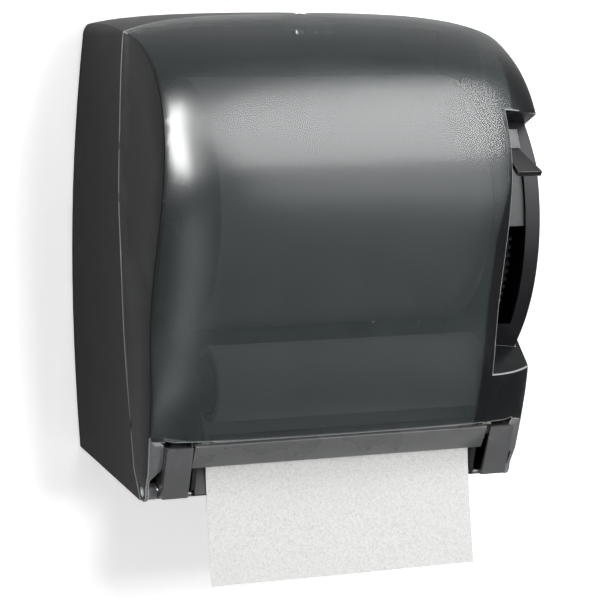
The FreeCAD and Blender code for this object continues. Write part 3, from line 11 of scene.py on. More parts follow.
import bpy
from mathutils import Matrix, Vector

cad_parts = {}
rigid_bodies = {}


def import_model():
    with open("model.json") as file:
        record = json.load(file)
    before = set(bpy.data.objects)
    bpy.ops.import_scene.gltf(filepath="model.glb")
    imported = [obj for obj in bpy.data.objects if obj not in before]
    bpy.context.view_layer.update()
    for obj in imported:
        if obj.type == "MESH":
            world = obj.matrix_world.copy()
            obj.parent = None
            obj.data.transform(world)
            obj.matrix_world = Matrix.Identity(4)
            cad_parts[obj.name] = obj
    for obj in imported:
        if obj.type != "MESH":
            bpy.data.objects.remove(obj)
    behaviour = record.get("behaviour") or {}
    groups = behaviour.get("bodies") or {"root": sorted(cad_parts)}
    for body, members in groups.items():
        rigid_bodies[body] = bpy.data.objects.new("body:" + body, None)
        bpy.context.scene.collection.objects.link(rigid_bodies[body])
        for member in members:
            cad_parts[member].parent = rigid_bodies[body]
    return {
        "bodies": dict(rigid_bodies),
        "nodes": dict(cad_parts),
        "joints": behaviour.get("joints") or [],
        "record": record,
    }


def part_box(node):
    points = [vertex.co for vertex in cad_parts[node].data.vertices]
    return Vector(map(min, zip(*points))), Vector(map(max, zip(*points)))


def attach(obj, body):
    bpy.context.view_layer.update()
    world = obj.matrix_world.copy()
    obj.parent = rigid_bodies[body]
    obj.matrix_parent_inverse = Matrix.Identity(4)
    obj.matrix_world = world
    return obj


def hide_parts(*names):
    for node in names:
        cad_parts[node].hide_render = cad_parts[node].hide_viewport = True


log = logging.getLogger("dispenser")

TIPS = -0.175  # the height of the cover's lowest tips in the row frame, m
WELD = 1e-6  # points nearer than this are one point, m
ROUND_SHADING = 40.0  # sharpest turn that a wound or draped surface is shaded round, degrees

Colour = tuple[float, float, float]
Place = tuple[float, float, float]


# ------------------------------------------------------------------ finishes


class Grain(Enum):
    """The fine relief of a finish, as its stretch along X, Y and Z."""

    MOULDED = (1.0, 1.0, 1.0)
    TURNED = (0.04, 1.0, 1.0)


def two_tints(nodes: bpy.types.Nodes, band: tuple[float, float],
              tints: tuple[Colour, Colour]) -> bpy.types.Node:
    """Adds a ramp that runs from one tint to another.

    Args:
        nodes: The material's nodes.
        band: Where the ramp starts and ends, between 0 and 1.
        tints: The two tints.

    Returns:
        The ramp's node.
    """
    ramp = nodes.new("ShaderNodeValToRGB")
    for stop, position, tint in zip(ramp.color_ramp.elements, band, tints):
        stop.position = position
        stop.color = (*tint, 1.0)
    return ramp


@dataclass(frozen=True)
class Finish:
    """One plastic, metal or board finish, worked out as shader nodes.

    The colour drifts between two tints, the gloss drifts with it, and a fine relief breaks
    the light up.
    """

    name: str
    tint: Colour
    worn_tint: Colour
    roughness: float
    gloss_drift: float = 0.06
    metallic: float = 0.0
    alpha: float = 1.0
    specular: float = 0.5
    grain: Grain = Grain.MOULDED
    grain_size: float = 0.0007
    grain_detail: float = 2.0
    grain_depth: float = 0.25
    relief: float = 0.12
    drift_size: float = 0.03
    drift_detail: float = 4.0
    drift_band: tuple[float, float] = (0.3, 0.7)
    least_roughness: float = 0.02

    def material(self) -> bpy.types.Material:
        """Gives the finish's material, and makes it the first time.

        Returns:
            The Blender material of this finish.
        """
        ready = bpy.data.materials.get(self.name)
        if ready and ready.get("dressed"):
            return ready
        made = bpy.data.materials.new(self.name)
        made["dressed"] = True
        made.use_nodes = True
        nodes, links = made.node_tree.nodes, made.node_tree.links
        shader = nodes["Principled BSDF"]
        shader.inputs["Metallic"].default_value = self.metallic
        shader.inputs["Alpha"].default_value = self.alpha
        shader.inputs["Specular IOR Level"].default_value = self.specular
        place = nodes.new("ShaderNodeTexCoord")
        turn = nodes.new("ShaderNodeMapping")
        turn.inputs["Scale"].default_value = self.grain.value
        links.new(place.outputs["Object"], turn.inputs["Vector"])

        drift = self._noise(nodes, 1.0 / self.drift_size, self.drift_detail)
        links.new(turn.outputs["Vector"], drift.inputs["Vector"])
        tints = two_tints(nodes, self.drift_band, (self.tint, self.worn_tint))
        links.new(drift.outputs["Fac"], tints.inputs["Fac"])
        links.new(tints.outputs["Color"], shader.inputs["Base Color"])

        gloss = nodes.new("ShaderNodeMapRange")
        dullest, glossiest = self.roughness + self.gloss_drift, self.roughness - self.gloss_drift
        gloss.inputs["To Min"].default_value = max(self.least_roughness, glossiest)
        gloss.inputs["To Max"].default_value = dullest
        links.new(drift.outputs["Fac"], gloss.inputs["Value"])
        links.new(gloss.outputs["Result"], shader.inputs["Roughness"])

        fine = self._noise(nodes, 1.0 / self.grain_size, self.grain_detail)
        links.new(turn.outputs["Vector"], fine.inputs["Vector"])
        bump = nodes.new("ShaderNodeBump")
        bump.inputs["Strength"].default_value = self.relief
        bump.inputs["Distance"].default_value = self.grain_size * self.grain_depth
        links.new(fine.outputs["Fac"], bump.inputs["Height"])
        links.new(bump.outputs["Normal"], shader.inputs["Normal"])
        return made

    @staticmethod
    def _noise(nodes: bpy.types.Nodes, scale: float, detail: float) -> bpy.types.Node:
        """Adds a noise texture.

        Args:
            nodes: The material's nodes.
            scale: How many turns it makes in a metre.
            detail: How many finer layers it has.

        Returns:
            The texture's node.
        """
        noise = nodes.new("ShaderNodeTexNoise")
        noise.inputs["Scale"].default_value = scale
        noise.inputs["Detail"].default_value = detail
        return noise


@dataclass(frozen=True)
class Paper:
    """White towel paper: a mottle of pulp fibres, and rings where a wound roll shows its edge."""

    name: str
    white: float = 0.90
    shade: float = 0.71
    warmth: tuple[float, float] = (0.99, 0.985)
    roughness: float = 0.92
    specular: float = 0.2
    fibre: float = 0.0016
    fibre_detail: float = 6.0
    fibre_roughness: float = 0.72
    fibre_curl: float = 0.9
    mottle_band: tuple[float, float] = (0.36, 0.56)
    relief: float = 0.35
    relief_depth: float = 0.0003
    rings: float = 0.0
    ring_wander: float = 0.6
    ring_detail: float = 2.0
    centre: tuple[float, float] = (0.0, 0.0)

    def material(self) -> bpy.types.Material:
        """Gives the paper's material.

        Returns:
            A new material with the mottle, the relief and any rings.
        """
        made = bpy.data.materials.new(self.name)
        made.use_nodes = True
        nodes, links = made.node_tree.nodes, made.node_tree.links
        shader = nodes["Principled BSDF"]
        shader.inputs["Roughness"].default_value = self.roughness
        shader.inputs["Specular IOR Level"].default_value = self.specular
        place = nodes.new("ShaderNodeTexCoord")
        turn = nodes.new("ShaderNodeMapping")
        turn.inputs["Location"].default_value = (0.0, -self.centre[0], -self.centre[1])
        links.new(place.outputs["Object"], turn.inputs["Vector"])
        pulp = nodes.new("ShaderNodeTexNoise")
        pulp.inputs["Scale"].default_value = 1.0 / self.fibre
        pulp.inputs["Detail"].default_value = self.fibre_detail
        pulp.inputs["Roughness"].default_value = self.fibre_roughness
        pulp.inputs["Distortion"].default_value = self.fibre_curl
        links.new(turn.outputs["Vector"], pulp.inputs["Vector"])
        dark, light = ((level, level, level * warm)
                       for level, warm in zip((self.shade, self.white), self.warmth))
        tints = two_tints(nodes, self.mottle_band, (dark, light))
        links.new(pulp.outputs["Fac"], tints.inputs["Fac"])
        links.new(tints.outputs["Color"], shader.inputs["Base Color"])
        bump = nodes.new("ShaderNodeBump")
        bump.inputs["Strength"].default_value = self.relief
        bump.inputs["Distance"].default_value = self.relief_depth
        height = self._wound_edge(nodes, links, turn) if self.rings else pulp.outputs["Fac"]
        links.new(height, bump.inputs["Height"])
        links.new(bump.outputs["Normal"], shader.inputs["Normal"])
        return made

    def _wound_edge(self, nodes: bpy.types.Nodes, links: bpy.types.NodeLinks,
                    turn: bpy.types.Node) -> bpy.types.NodeSocket:
        """Adds rings about the roll's axis, which runs along X.

        Args:
            nodes: The material's nodes.
            links: The material's links.
            turn: The mapping node whose origin is the roll's axis.

        Returns:
            The rings' height socket.
        """
        wave = nodes.new("ShaderNodeTexWave")
        wave.wave_type = "RINGS"
        wave.rings_direction = "X"
        wave.inputs["Scale"].default_value = self.rings
        wave.inputs["Distortion"].default_value = self.ring_wander
        wave.inputs["Detail"].default_value = self.ring_detail
        links.new(turn.outputs["Vector"], wave.inputs["Vector"])
        return wave.outputs["Fac"]


CHARCOAL = Finish("case_charcoal", (0.0055, 0.0055, 0.0062), (0.0085, 0.0085, 0.0092), 0.46,
                  specular=0.1, relief=0.25)
SMOKE = Finish("smoked_cover", (0.028, 0.037, 0.039), (0.034, 0.044, 0.046), 0.31,
               gloss_drift=0.02, alpha=0.62, specular=0.2, grain_size=0.0008, relief=0.07)
# painted shade: a darker, less clear copy of the smoked cover for its side walls, the walls round
# the lever and its creases
SMOKE_PAINTED_SHADE = Finish("smoked_cover_painted_shade", (0.008, 0.009, 0.010), (0.012, 0.013, 0.014), 0.30,
                    gloss_drift=0.02, alpha=0.94, specular=0.07, grain_size=0.0008, relief=0.07)
# painted highlight: a light grey for the cover's rolled edges and the case's front rim, standing in
# for light caught on them
SMOKE_PAINTED_HIGHLIGHT = Finish("smoked_cover_painted_highlight", (0.26, 0.27, 0.28), (0.32, 0.33, 0.34), 0.5,
                    specular=0.15, relief=0.05)
# painted light: a lighter, opaque copy of the smoked cover for its lower corners beside the end
# caps
SMOKE_PAINTED_LIGHT = Finish("smoked_cover_painted_light", (0.10, 0.102, 0.106), (0.13, 0.133, 0.137), 0.24,
                   specular=0.3, relief=0.05)
# painted highlight: a light grey for the rolled edges of the caps, the bar and the paddle
MOULD_PAINTED_HIGHLIGHT = Finish("moulded_painted_highlight", (0.17, 0.172, 0.176), (0.22, 0.222, 0.226), 0.26,
                    specular=0.3, relief=0.05)
CAP_GREY = Finish("cap_grey", (0.062, 0.063, 0.066), (0.078, 0.079, 0.082), 0.26, relief=0.06)
BAR_GREY = Finish("bar_grey", (0.085, 0.087, 0.088), (0.105, 0.107, 0.108), 0.28, relief=0.06)
TOWER_GREY = Finish("tower_grey", (0.009, 0.009, 0.011), (0.013, 0.012, 0.015), 0.45,
                    specular=0.05, relief=0.2)
BLACK = Finish("paddle_black", (0.005, 0.005, 0.006), (0.008, 0.008, 0.009), 0.36,
               specular=0.12, relief=0.18)
SHUTTER = Finish("shutter_grey", (0.085, 0.087, 0.089), (0.105, 0.107, 0.109), 0.5,
                 specular=0.04, relief=0.08)
FRAME = Finish("frame_plastic", (0.007, 0.007, 0.008), (0.011, 0.011, 0.012), 0.5,
               specular=0.15, relief=0.2)
GEAR_WHITE = Finish("gear_white", (0.62, 0.61, 0.57), (0.70, 0.69, 0.65), 0.4, relief=0.06)
GEAR_GREY = Finish("gear_grey", (0.014, 0.014, 0.015), (0.019, 0.019, 0.020), 0.55,
                   specular=0.05, relief=0.08)
BUSH = Finish("bush_plastic", (0.55, 0.53, 0.46), (0.62, 0.60, 0.54), 0.42, relief=0.05)
CHROME = Finish("arm_chrome", (0.10, 0.10, 0.105), (0.16, 0.16, 0.165), 0.2,
                metallic=1.0, relief=0.03)
STEEL = Finish("shaft_steel", (0.46, 0.46, 0.47), (0.56, 0.56, 0.57), 0.27,
               metallic=1.0, grain=Grain.TURNED, relief=0.12)
SPRING = Finish("spring_steel", (0.30, 0.30, 0.31), (0.42, 0.42, 0.43), 0.3,
                metallic=1.0, relief=0.1)
BLADE = Finish("blade_steel", (0.50, 0.50, 0.51), (0.62, 0.62, 0.63), 0.24,
               metallic=1.0, grain=Grain.TURNED, relief=0.18)
LOCK = Finish("lock_metal", (0.36, 0.36, 0.36), (0.50, 0.50, 0.50), 0.3, metallic=1.0, relief=0.1)
RUBBER = Finish("drive_rubber", (0.020, 0.020, 0.020), (0.035, 0.035, 0.034), 0.8, relief=0.5)
DRUM = Finish("drum_plastic", (0.10, 0.10, 0.105), (0.13, 0.13, 0.135), 0.46, relief=0.1)
BOARD = Finish("core_board", (0.30, 0.215, 0.13), (0.40, 0.30, 0.19), 0.85,
               grain_size=0.0012, relief=0.5, drift_size=0.006)
ZINC = Finish("screw_zinc", (0.48, 0.48, 0.46), (0.62, 0.62, 0.60), 0.32, metallic=1.0, relief=0.1)
SHEET_PAPER = Paper("towel_sheet", white=0.72, shade=0.56)
WRAP_PAPER = Paper("towel_roll_wrap", fibre=0.0022)

SLOT_FINISHES: dict[str, Finish] = {
    "housing": CHARCOAL, "smoke_cover": SMOKE, "cap_grey": CAP_GREY, "bar_grey": BAR_GREY,
    "tower": TOWER_GREY, "black_plastic": BLACK, "shutter_grey": SHUTTER, "frame_plastic": FRAME,
    "gear_white": GEAR_WHITE, "gear_grey": GEAR_GREY, "bush": BUSH, "arm_chrome": CHROME,
    "steel": STEEL, "spring_steel": SPRING, "blade_steel": BLADE, "lock_metal": LOCK,
    "rubber": RUBBER, "drum_plastic": DRUM, "core_board": BOARD, "screw_zinc": ZINC,
}


# ------------------------------------------------------------------ bench work


def select_only(piece: bpy.types.Object) -> None:
    """Deselects everything, then selects one piece and makes it active.

    Args:
        piece: The piece to work on.
    """
    bpy.ops.object.select_all(action="DESELECT")
    piece.select_set(True)
    bpy.context.view_layer.objects.active = piece


def apply_place(piece: bpy.types.Object) -> None:
    """Moves a piece's place, turn and scale into its mesh."""
    select_only(piece)
    bpy.ops.object.transform_apply(location=True, rotation=True, scale=True)


def apply_modifier(piece: bpy.types.Object, modifier: bpy.types.Modifier) -> None:
    """Works a modifier into a piece's mesh."""
    select_only(piece)
    bpy.ops.object.modifier_apply(modifier=modifier.name)


def round_edges(piece: bpy.types.Object, radius: float, segments: int = 2, angle: float = 35.0,
                clamp: bool = True, slot: int = -1) -> None:
    """Rolls a small radius along a piece's sharp edges.

    Args:
        piece: The piece to work on.
        radius: The width of the rolled edge, m.
        segments: How many facets the radius gets.
        angle: Edges that turn by more than this are sharp, degrees.
        clamp: Whether small faces hold the radius back.
        slot: The material slot of the rolled edges; the neighbouring faces' own where it is -1.
    """
    bevel = piece.modifiers.new("edges", "BEVEL")
    bevel.width = radius
    bevel.segments = segments
    bevel.limit_method = "ANGLE"
    bevel.angle_limit = math.radians(angle)
    bevel.use_clamp_overlap = clamp
    bevel.material = slot
    apply_modifier(piece, bevel)


def smooth(piece: bpy.types.Object, angle: float = 30.0) -> None:
    """Shades a piece smooth, with sharp edges past an angle in degrees."""
    select_only(piece)
    bpy.ops.object.shade_smooth_by_angle(angle=math.radians(angle))


@dataclass
class Dispenser:
    """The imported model, and what is done to any of its nodes.

    The nodes that a new piece is shown in place of are noted in replaced.
    """

    frame: dict
    replaced: set[str] = field(default_factory=set)

    def merged_copy(self, node: str, name: str, flat: float = 0.02) -> bpy.types.Object:
        """Copies a node's mesh and joins its loose triangles into whole faces.

        Args:
            node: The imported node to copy.
            name: The new piece's name.
            flat: Faces that meet at less than this many degrees become one.

        Returns:
            The new piece, with no material yet.
        """
        piece = bpy.data.objects.new(name, self.frame["nodes"][node].data.copy())
        bpy.context.scene.collection.objects.link(piece)
        piece.data.materials.clear()
        select_only(piece)
        bpy.ops.mesh.customdata_custom_splitnormals_clear()
        bpy.ops.object.mode_set(mode="EDIT")
        bpy.ops.mesh.select_all(action="SELECT")
        bpy.ops.mesh.remove_doubles(threshold=WELD)
        bpy.ops.mesh.dissolve_limited(angle_limit=math.radians(flat))
        bpy.ops.object.mode_set(mode="OBJECT")
        return piece

    def settle(self, piece: bpy.types.Object, node: str, reach: float = 0.0006) -> None:
        """Puts back each point that a rolled edge threw off the node's own surface.

        The faces round such a point get the piece's first material again.

        Args:
            piece: The piece with rolled edges.
            node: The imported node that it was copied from.
            reach: How far off the surface a point may stay, m.
        """
        surface = self.frame["nodes"][node]
        moved = set()
        for point in piece.data.vertices:
            found, place, _, _ = surface.closest_point_on_mesh(point.co)
            if found and (place - point.co).length > reach:
                point.co = place
                moved.add(point.index)
        for face in piece.data.polygons:
            if moved.intersection(face.vertices):
                face.material_index = 0

    def fit(self, piece: bpy.types.Object, material: bpy.types.Material, slot: str, body: str,
            node: str) -> None:
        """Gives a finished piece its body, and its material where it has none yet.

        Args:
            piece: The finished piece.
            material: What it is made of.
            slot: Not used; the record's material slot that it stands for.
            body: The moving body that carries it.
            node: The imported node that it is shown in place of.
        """
        if not piece.data.materials:
            piece.data.materials.append(material)
        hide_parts(node)
        self.replaced.add(node)
        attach(piece, body)
        log.info("%s: %d faces, rides on %s", piece.name, len(piece.data.polygons), body)

    def edged(self, node: str, name: str, finish: Finish, slot: str, body: str, radius: float,
              edge_highlight: Finish | None = None) -> None:
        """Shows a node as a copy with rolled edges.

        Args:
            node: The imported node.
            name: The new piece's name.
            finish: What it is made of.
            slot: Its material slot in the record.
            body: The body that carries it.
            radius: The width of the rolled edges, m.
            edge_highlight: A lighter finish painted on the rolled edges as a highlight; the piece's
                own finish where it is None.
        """
        piece = self.merged_copy(node, name)
        piece.data.materials.append(finish.material())
        # a second slot holds the painted highlight of the rolled edges
        if edge_highlight:
            piece.data.materials.append(edge_highlight.material())
        round_edges(piece, radius, slot=1 if edge_highlight else -1)
        self.settle(piece, node)
        smooth(piece)
        self.fit(piece, finish.material(), slot, body, node)

    def dress_the_rest(self) -> None:
        """Gives each node that is still shown the finish of its own slot."""
        for name, node in self.frame["nodes"].items():
            if name in self.replaced:
                continue
            for place in node.material_slots:
                place.material = SLOT_FINISHES[place.material.name].material()
            log.info("%s: packed node with its finish", name)


# ------------------------------------------------------------------ sub-assemblies


class CoverZone(IntEnum):
    """The material slots of the cover, in order: the plain panel, painted shade, the rolled edges
    with a painted highlight, and painted light on the lower corners.
    """

    PANEL = 0
    DEEP = 1
    # the rolled edges, which carry a painted highlight
    EDGE = 2
    LIP = 3


@dataclass
class Shells:
    """The charcoal case on the wall and the smoked cover that swings on it.

    Lengths are in metres, and angles in degrees. A line or a normal is given along X and Z.
    """

    model: Dispenser
    sharp: float = 28.0
    rolled_edge: float = 0.0007
    rolled_angle: float = 40.0
    # these bounds place the painted shade, the painted highlight and the painted light on the cover
    side_facing: float = 0.88
    recess_edge: float = 0.1084
    recess_top: float = TIPS + 0.262
    shade_edge: float = 0.0985
    shade_line: tuple[float, float] = (0.1084, TIPS + 0.240)
    shade_normal: tuple[float, float] = (0.984, -0.177)
    slack: float = 0.0008
    lip_side: float = 0.1125
    lip_top: float = TIPS + 0.0466
    seam_front: float = -0.0905
    seam_back: float = -0.0985
    crease_clear: float = 0.01
    crease_foot: float = TIPS + 0.05

    def build(self) -> None:
        """Shows the case and the cover as smooth shells."""
        self._case()
        cover = self.model.merged_copy("front_cover", "cover_shell")
        # slots: the plain smoked panel, painted shade, painted highlight on the rolled edges,
        # painted light on the lower corners
        for finish in (SMOKE, SMOKE_PAINTED_SHADE, SMOKE_PAINTED_HIGHLIGHT, SMOKE_PAINTED_LIGHT):
            cover.data.materials.append(finish.material())
        self._paint_shade(cover)
        # the cover's rolled edges take the painted highlight finish
        round_edges(cover, self.rolled_edge, angle=self.rolled_angle, clamp=False,
                    slot=CoverZone.EDGE)
        self._paint_crease_shade(cover)
        self.model.settle(cover, "front_cover")
        smooth(cover, self.sharp)
        self.model.fit(cover, SMOKE.material(), "smoke_cover", "cover", "front_cover")

    def _case(self) -> None:
        """Shows the case, with a rolled edge all along its front rim that carries a painted
        highlight in a light grey finish.
        """
        case = self.model.merged_copy("back_housing", "case_shell")
        for finish in (CHARCOAL, SMOKE_PAINTED_HIGHLIGHT):
            case.data.materials.append(finish.material())
        rim = case.vertex_groups.new(name="front_rim")
        front = [point.index for point in case.data.vertices if point.co.y < self.seam_front]
        rim.add(front, 1.0, "REPLACE")
        bevel = case.modifiers.new("rim", "BEVEL")
        bevel.width = self.rolled_edge
        bevel.segments = 1
        bevel.limit_method = "VGROUP"
        bevel.vertex_group = rim.name
        bevel.use_clamp_overlap = False
        # the rim's rolled edge takes the painted highlight finish
        bevel.material = len(case.data.materials) - 1
        apply_modifier(case, bevel)
        self.model.settle(case, "back_housing")
        smooth(case, self.sharp)
        self.model.fit(case, CHARCOAL.material(), "housing", "case", "back_housing")

    def _paint_shade(self, cover: bpy.types.Object) -> None:
        """Paints shade on the side walls and the walls round the lever, where the plastic is seen
        edge on, as a darker and less clear copy of the smoked finish, and paints light on the lower
        corners as a lighter opaque copy.

        Args:
            cover: The cover, with its finishes in their slots.
        """
        slant_x, slant_z = self.shade_line
        normal_x, normal_z = self.shade_normal
        across = (1.0, 0.0, 0.0)
        cuts = (
            ((self.recess_edge, 0.0, 0.0), across),
            ((self.shade_edge, 0.0, 0.0), across),
            ((slant_x, 0.0, slant_z), (normal_x, 0.0, normal_z)),
        )
        select_only(cover)
        bpy.ops.object.mode_set(mode="EDIT")
        for point, normal in cuts:
            bpy.ops.mesh.select_all(action="SELECT")
            bpy.ops.mesh.bisect(plane_co=point, plane_no=normal)
        bpy.ops.object.mode_set(mode="OBJECT")
        for face in cover.data.polygons:
            face.material_index = self._zone(face)

    def _zone(self, face: bpy.types.MeshPolygon) -> CoverZone:
        """Tells which part of the cover a face belongs to: the plain panel, the painted shade or
        the painted light.

        Args:
            face: A face of the cut cover.

        Returns:
            The face's zone.
        """
        x, z = face.center.x, face.center.z
        # painted shade on the side walls and the walls round the lever, painted light on the lower
        # corners
        if abs(face.normal.x) > self.side_facing:
            return CoverZone.DEEP
        if abs(x) > self.lip_side and z < self.lip_top:
            return CoverZone.LIP
        if x > self.recess_edge - self.slack and z < self.recess_top:
            return CoverZone.DEEP
        slant_x, slant_z = self.shade_line
        normal_x, normal_z = self.shade_normal
        past_line = (x - slant_x) * normal_x + (z - slant_z) * normal_z > 0
        return CoverZone.DEEP if x > self.shade_edge and past_line else CoverZone.PANEL

    def _paint_crease_shade(self, cover: bpy.types.Object) -> None:
        """Paints shade on the long creases between the cover's sides and its front, by giving their
        rolled edges the darker cover finish instead of the painted highlight.

        Args:
            cover: The cover, with its edges rolled.
        """
        outside = self.recess_edge + self.crease_clear
        for face in cover.data.polygons:
            x, y, z = face.center
            if face.material_index != CoverZone.EDGE or y > self.seam_back:
                continue
            left = x < -outside and z > self.crease_foot
            right = x > outside and z > self.recess_top + self.crease_clear
            # painted shade: this crease's rolled edge takes the darker cover finish
            if left or right:
                face.material_index = CoverZone.DEEP


@dataclass
class FeedMouth:
    """The end caps, the front bar and the guide that the towel comes out between."""

    model: Dispenser
    cap_edge: float = 0.0006
    bar_edge: float = 0.0008
    guide_edge: float = 0.0004

    def build(self) -> None:
        """Rolls the edges of the caps, the bar and the guide, with a painted highlight on the
        rolled edges of the caps and the bar.
        """
        # the caps' and the bar's rolled edges get a painted highlight
        for side in ("left", "right"):
            self.model.edged(f"end_cap_{side}", f"cap_{side}", CAP_GREY, "cap_grey", "case",
                             self.cap_edge, MOULD_PAINTED_HIGHLIGHT)
        self.model.edged("front_bar", "tear_bar_cover", BAR_GREY, "bar_grey", "case",
                         self.bar_edge, MOULD_PAINTED_HIGHLIGHT)
        self.model.edged("paper_chute", "towel_guide", FRAME, "frame_plastic", "case",
                         self.guide_edge)


@dataclass
class LeverStation:
    """The tower on the right, with the chromed arm, the paddle and the shutter in its slot."""

    model: Dispenser
    arm_edge: float = 0.0005
    paddle_edge: float = 0.0007
    shutter_edge: float = 0.0003

    def build(self) -> None:
        """Shows the tower and the lever's pieces with rolled edges, with a painted highlight on the
        paddle's rolled edges.
        """
        tower = self.model.merged_copy("lever_tower", "tower_shell")
        smooth(tower)
        self.model.fit(tower, TOWER_GREY.material(), "tower", "case", "lever_tower")
        self.model.edged("lever_arm", "arm_bar", CHROME, "arm_chrome", "lever", self.arm_edge)
        # the paddle's rolled edges get a painted highlight
        self.model.edged("lever_paddle", "paddle", BLACK, "black_plastic", "lever",
                         self.paddle_edge, MOULD_PAINTED_HIGHLIGHT)
        self.model.edged("slot_shutter", "shutter", SHUTTER, "shutter_grey", "lever",
                         self.shutter_edge)


@dataclass
class PaperRoll:
    """One wound roll of towel on a board core."""

    model: Dispenser
    node: str
    name: str
    body: str
    windings: float = 420.0
    sides: int = 128
    corner: float = 0.0008
    corner_facets: int = 3
    corner_angle: float = 60.0
    end_facing: float = 0.9

    def build(self) -> None:
        """Spins the roll's wall about its axis, and rounds its corners."""
        low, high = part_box(self.node)
        core_low, core_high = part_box(f"{self.node}_core")
        middle = (low + high) / 2
        radius, bore = (high.z - low.z) / 2, (core_high.z - core_low.z) / 2
        bpy.ops.object.select_all(action="DESELECT")
        bpy.ops.mesh.primitive_plane_add(
            size=1.0, location=(middle.x, middle.y, middle.z + (radius + bore) / 2),
            rotation=(math.pi / 2, 0.0, 0.0))
        piece = bpy.context.object
        piece.name = piece.data.name = self.name
        piece.scale = (high.x - low.x, radius - bore, 1.0)
        apply_place(piece)
        bpy.ops.object.mode_set(mode="EDIT")
        bpy.ops.mesh.select_all(action="SELECT")
        bpy.ops.mesh.delete(type="ONLY_FACE")
        bpy.ops.mesh.select_all(action="SELECT")
        bpy.ops.mesh.spin(steps=self.sides, angle=2 * math.pi, center=middle, axis=(1.0, 0.0, 0.0))
        bpy.ops.mesh.select_all(action="SELECT")
        bpy.ops.mesh.remove_doubles(threshold=WELD)
        bpy.ops.mesh.normals_make_consistent(inside=False)
        bpy.ops.object.mode_set(mode="OBJECT")
        round_edges(piece, self.corner, segments=self.corner_facets, angle=self.corner_angle)
        smooth(piece, ROUND_SHADING)
        self.model.fit(piece, WRAP_PAPER.material(), "towel_paper", self.body, self.node)
        ends = Paper(f"{self.name}_ends", rings=self.windings, centre=(middle.y, middle.z))
        piece.data.materials.append(ends.material())
        for face in piece.data.polygons:
            face.material_index = int(abs(face.normal.x) > self.end_facing)


@dataclass
class TowelSheet:
    """The sheet from the part roll, over the drive roller and out between bar and guide.

    Heights are counted from the cover's lowest tips, and pairs are a depth and a height, in metres.
    """

    model: Dispenser
    left: float = -0.09775
    right: float = 0.10525
    thick: float = 0.0004
    drive_axis: tuple[float, float] = (-0.1361, 0.0409)
    wrap_radius: float = 0.0145
    wrap_start: float = 180.0
    wrap_end: float = 143.6
    wrap_runs: int = 8
    roll_tangent: tuple[float, float] = (-0.1344, 0.0677)
    drop: tuple[tuple[float, float], ...] = (
        (-0.1636, -0.0600), (-0.1598, -0.0391), (-0.1552, -0.0141), (-0.1517, 0.0109),
        (-0.1509, 0.0269))
    across: int = 90
    down: int = 110
    ripple: float = 0.00035
    free_share: float = 0.55
    long_wave: tuple[float, float] = (9.0, 3.0)
    short_wave: tuple[float, float] = (23.0, -7.0)
    short_share: float = 0.5

    def route(self) -> list[Vector]:
        """Lists the sheet's line from its free end up to the roll, as (0, y, height) points.

        Returns:
            The points of the line, in metres.
        """
        points = [Vector((0.0, y, h)) for y, h in self.drop]
        depth, height = self.drive_axis
        for turn in range(self.wrap_runs + 1):
            swept = (self.wrap_end - self.wrap_start) * turn / self.wrap_runs
            angle = math.radians(self.wrap_start + swept)
            points.append(Vector((0.0, depth + self.wrap_radius * math.cos(angle),
                                  height + self.wrap_radius * math.sin(angle))))
        points.append(Vector((0.0, *self.roll_tangent)))
        return points

    @staticmethod
    def length(points: list[Vector]) -> float:
        """Adds up the line's runs."""
        return sum((b - a).length for a, b in zip(points, points[1:]))

    @staticmethod
    def at(points: list[Vector], distance: float) -> Vector:
        """Finds the point of the line at a distance from its free end.

        Args:
            points: The line's points.
            distance: How far along it, m.

        Returns:
            The point, or the line's end where the distance runs past it.
        """
        for a, b in zip(points, points[1:]):
            run = (b - a).length
            if distance <= run:
                return a.lerp(b, distance / run)
            distance -= run
        return points[-1].copy()

    def wave(self, u: float, v: float) -> float:
        """Works out how far the free end ripples out of its line.

        Args:
            u: The place across the sheet, from 0 to 1.
            v: The place along it from its free end, from 0 to 1.

        Returns:
            The ripple's depth, m.
        """
        free = max(0.0, 1.0 - v / self.free_share)
        slow, quick = (math.sin(u * across + v * along)
                       for across, along in (self.long_wave, self.short_wave))
        return self.ripple * free * (slow + self.short_share * quick)

    def build(self) -> None:
        """Lays a fine grid along the line, ripples it and gives it its thickness."""
        line = self.route()
        total = self.length(line)
        width = self.right - self.left
        bpy.ops.object.select_all(action="DESELECT")
        bpy.ops.mesh.primitive_grid_add(x_subdivisions=self.across, y_subdivisions=self.down,
                                        size=1.0)
        sheet = bpy.context.object
        sheet.name = sheet.data.name = "towel_sheet"
        for point in sheet.data.vertices:
            u, v = point.co.x + 0.5, point.co.y + 0.5
            spot = self.at(line, v * total)
            point.co = (self.left + u * width, spot.y + self.wave(u, v), spot.z + TIPS)
        wall = sheet.modifiers.new("paper", "SOLIDIFY")
        wall.thickness = self.thick
        wall.offset = 0.0
        apply_modifier(sheet, wall)
        smooth(sheet, ROUND_SHADING)
        self.model.fit(sheet, SHEET_PAPER.material(), "towel_paper", "case", "towel_web")


class Shine(Enum):
    """Which surfaces a lamp reaches."""

    ALL = "matt and glossy surfaces"
    GLOSS = "only what glossy surfaces show"
    MATT = "all but what glossy surfaces show"


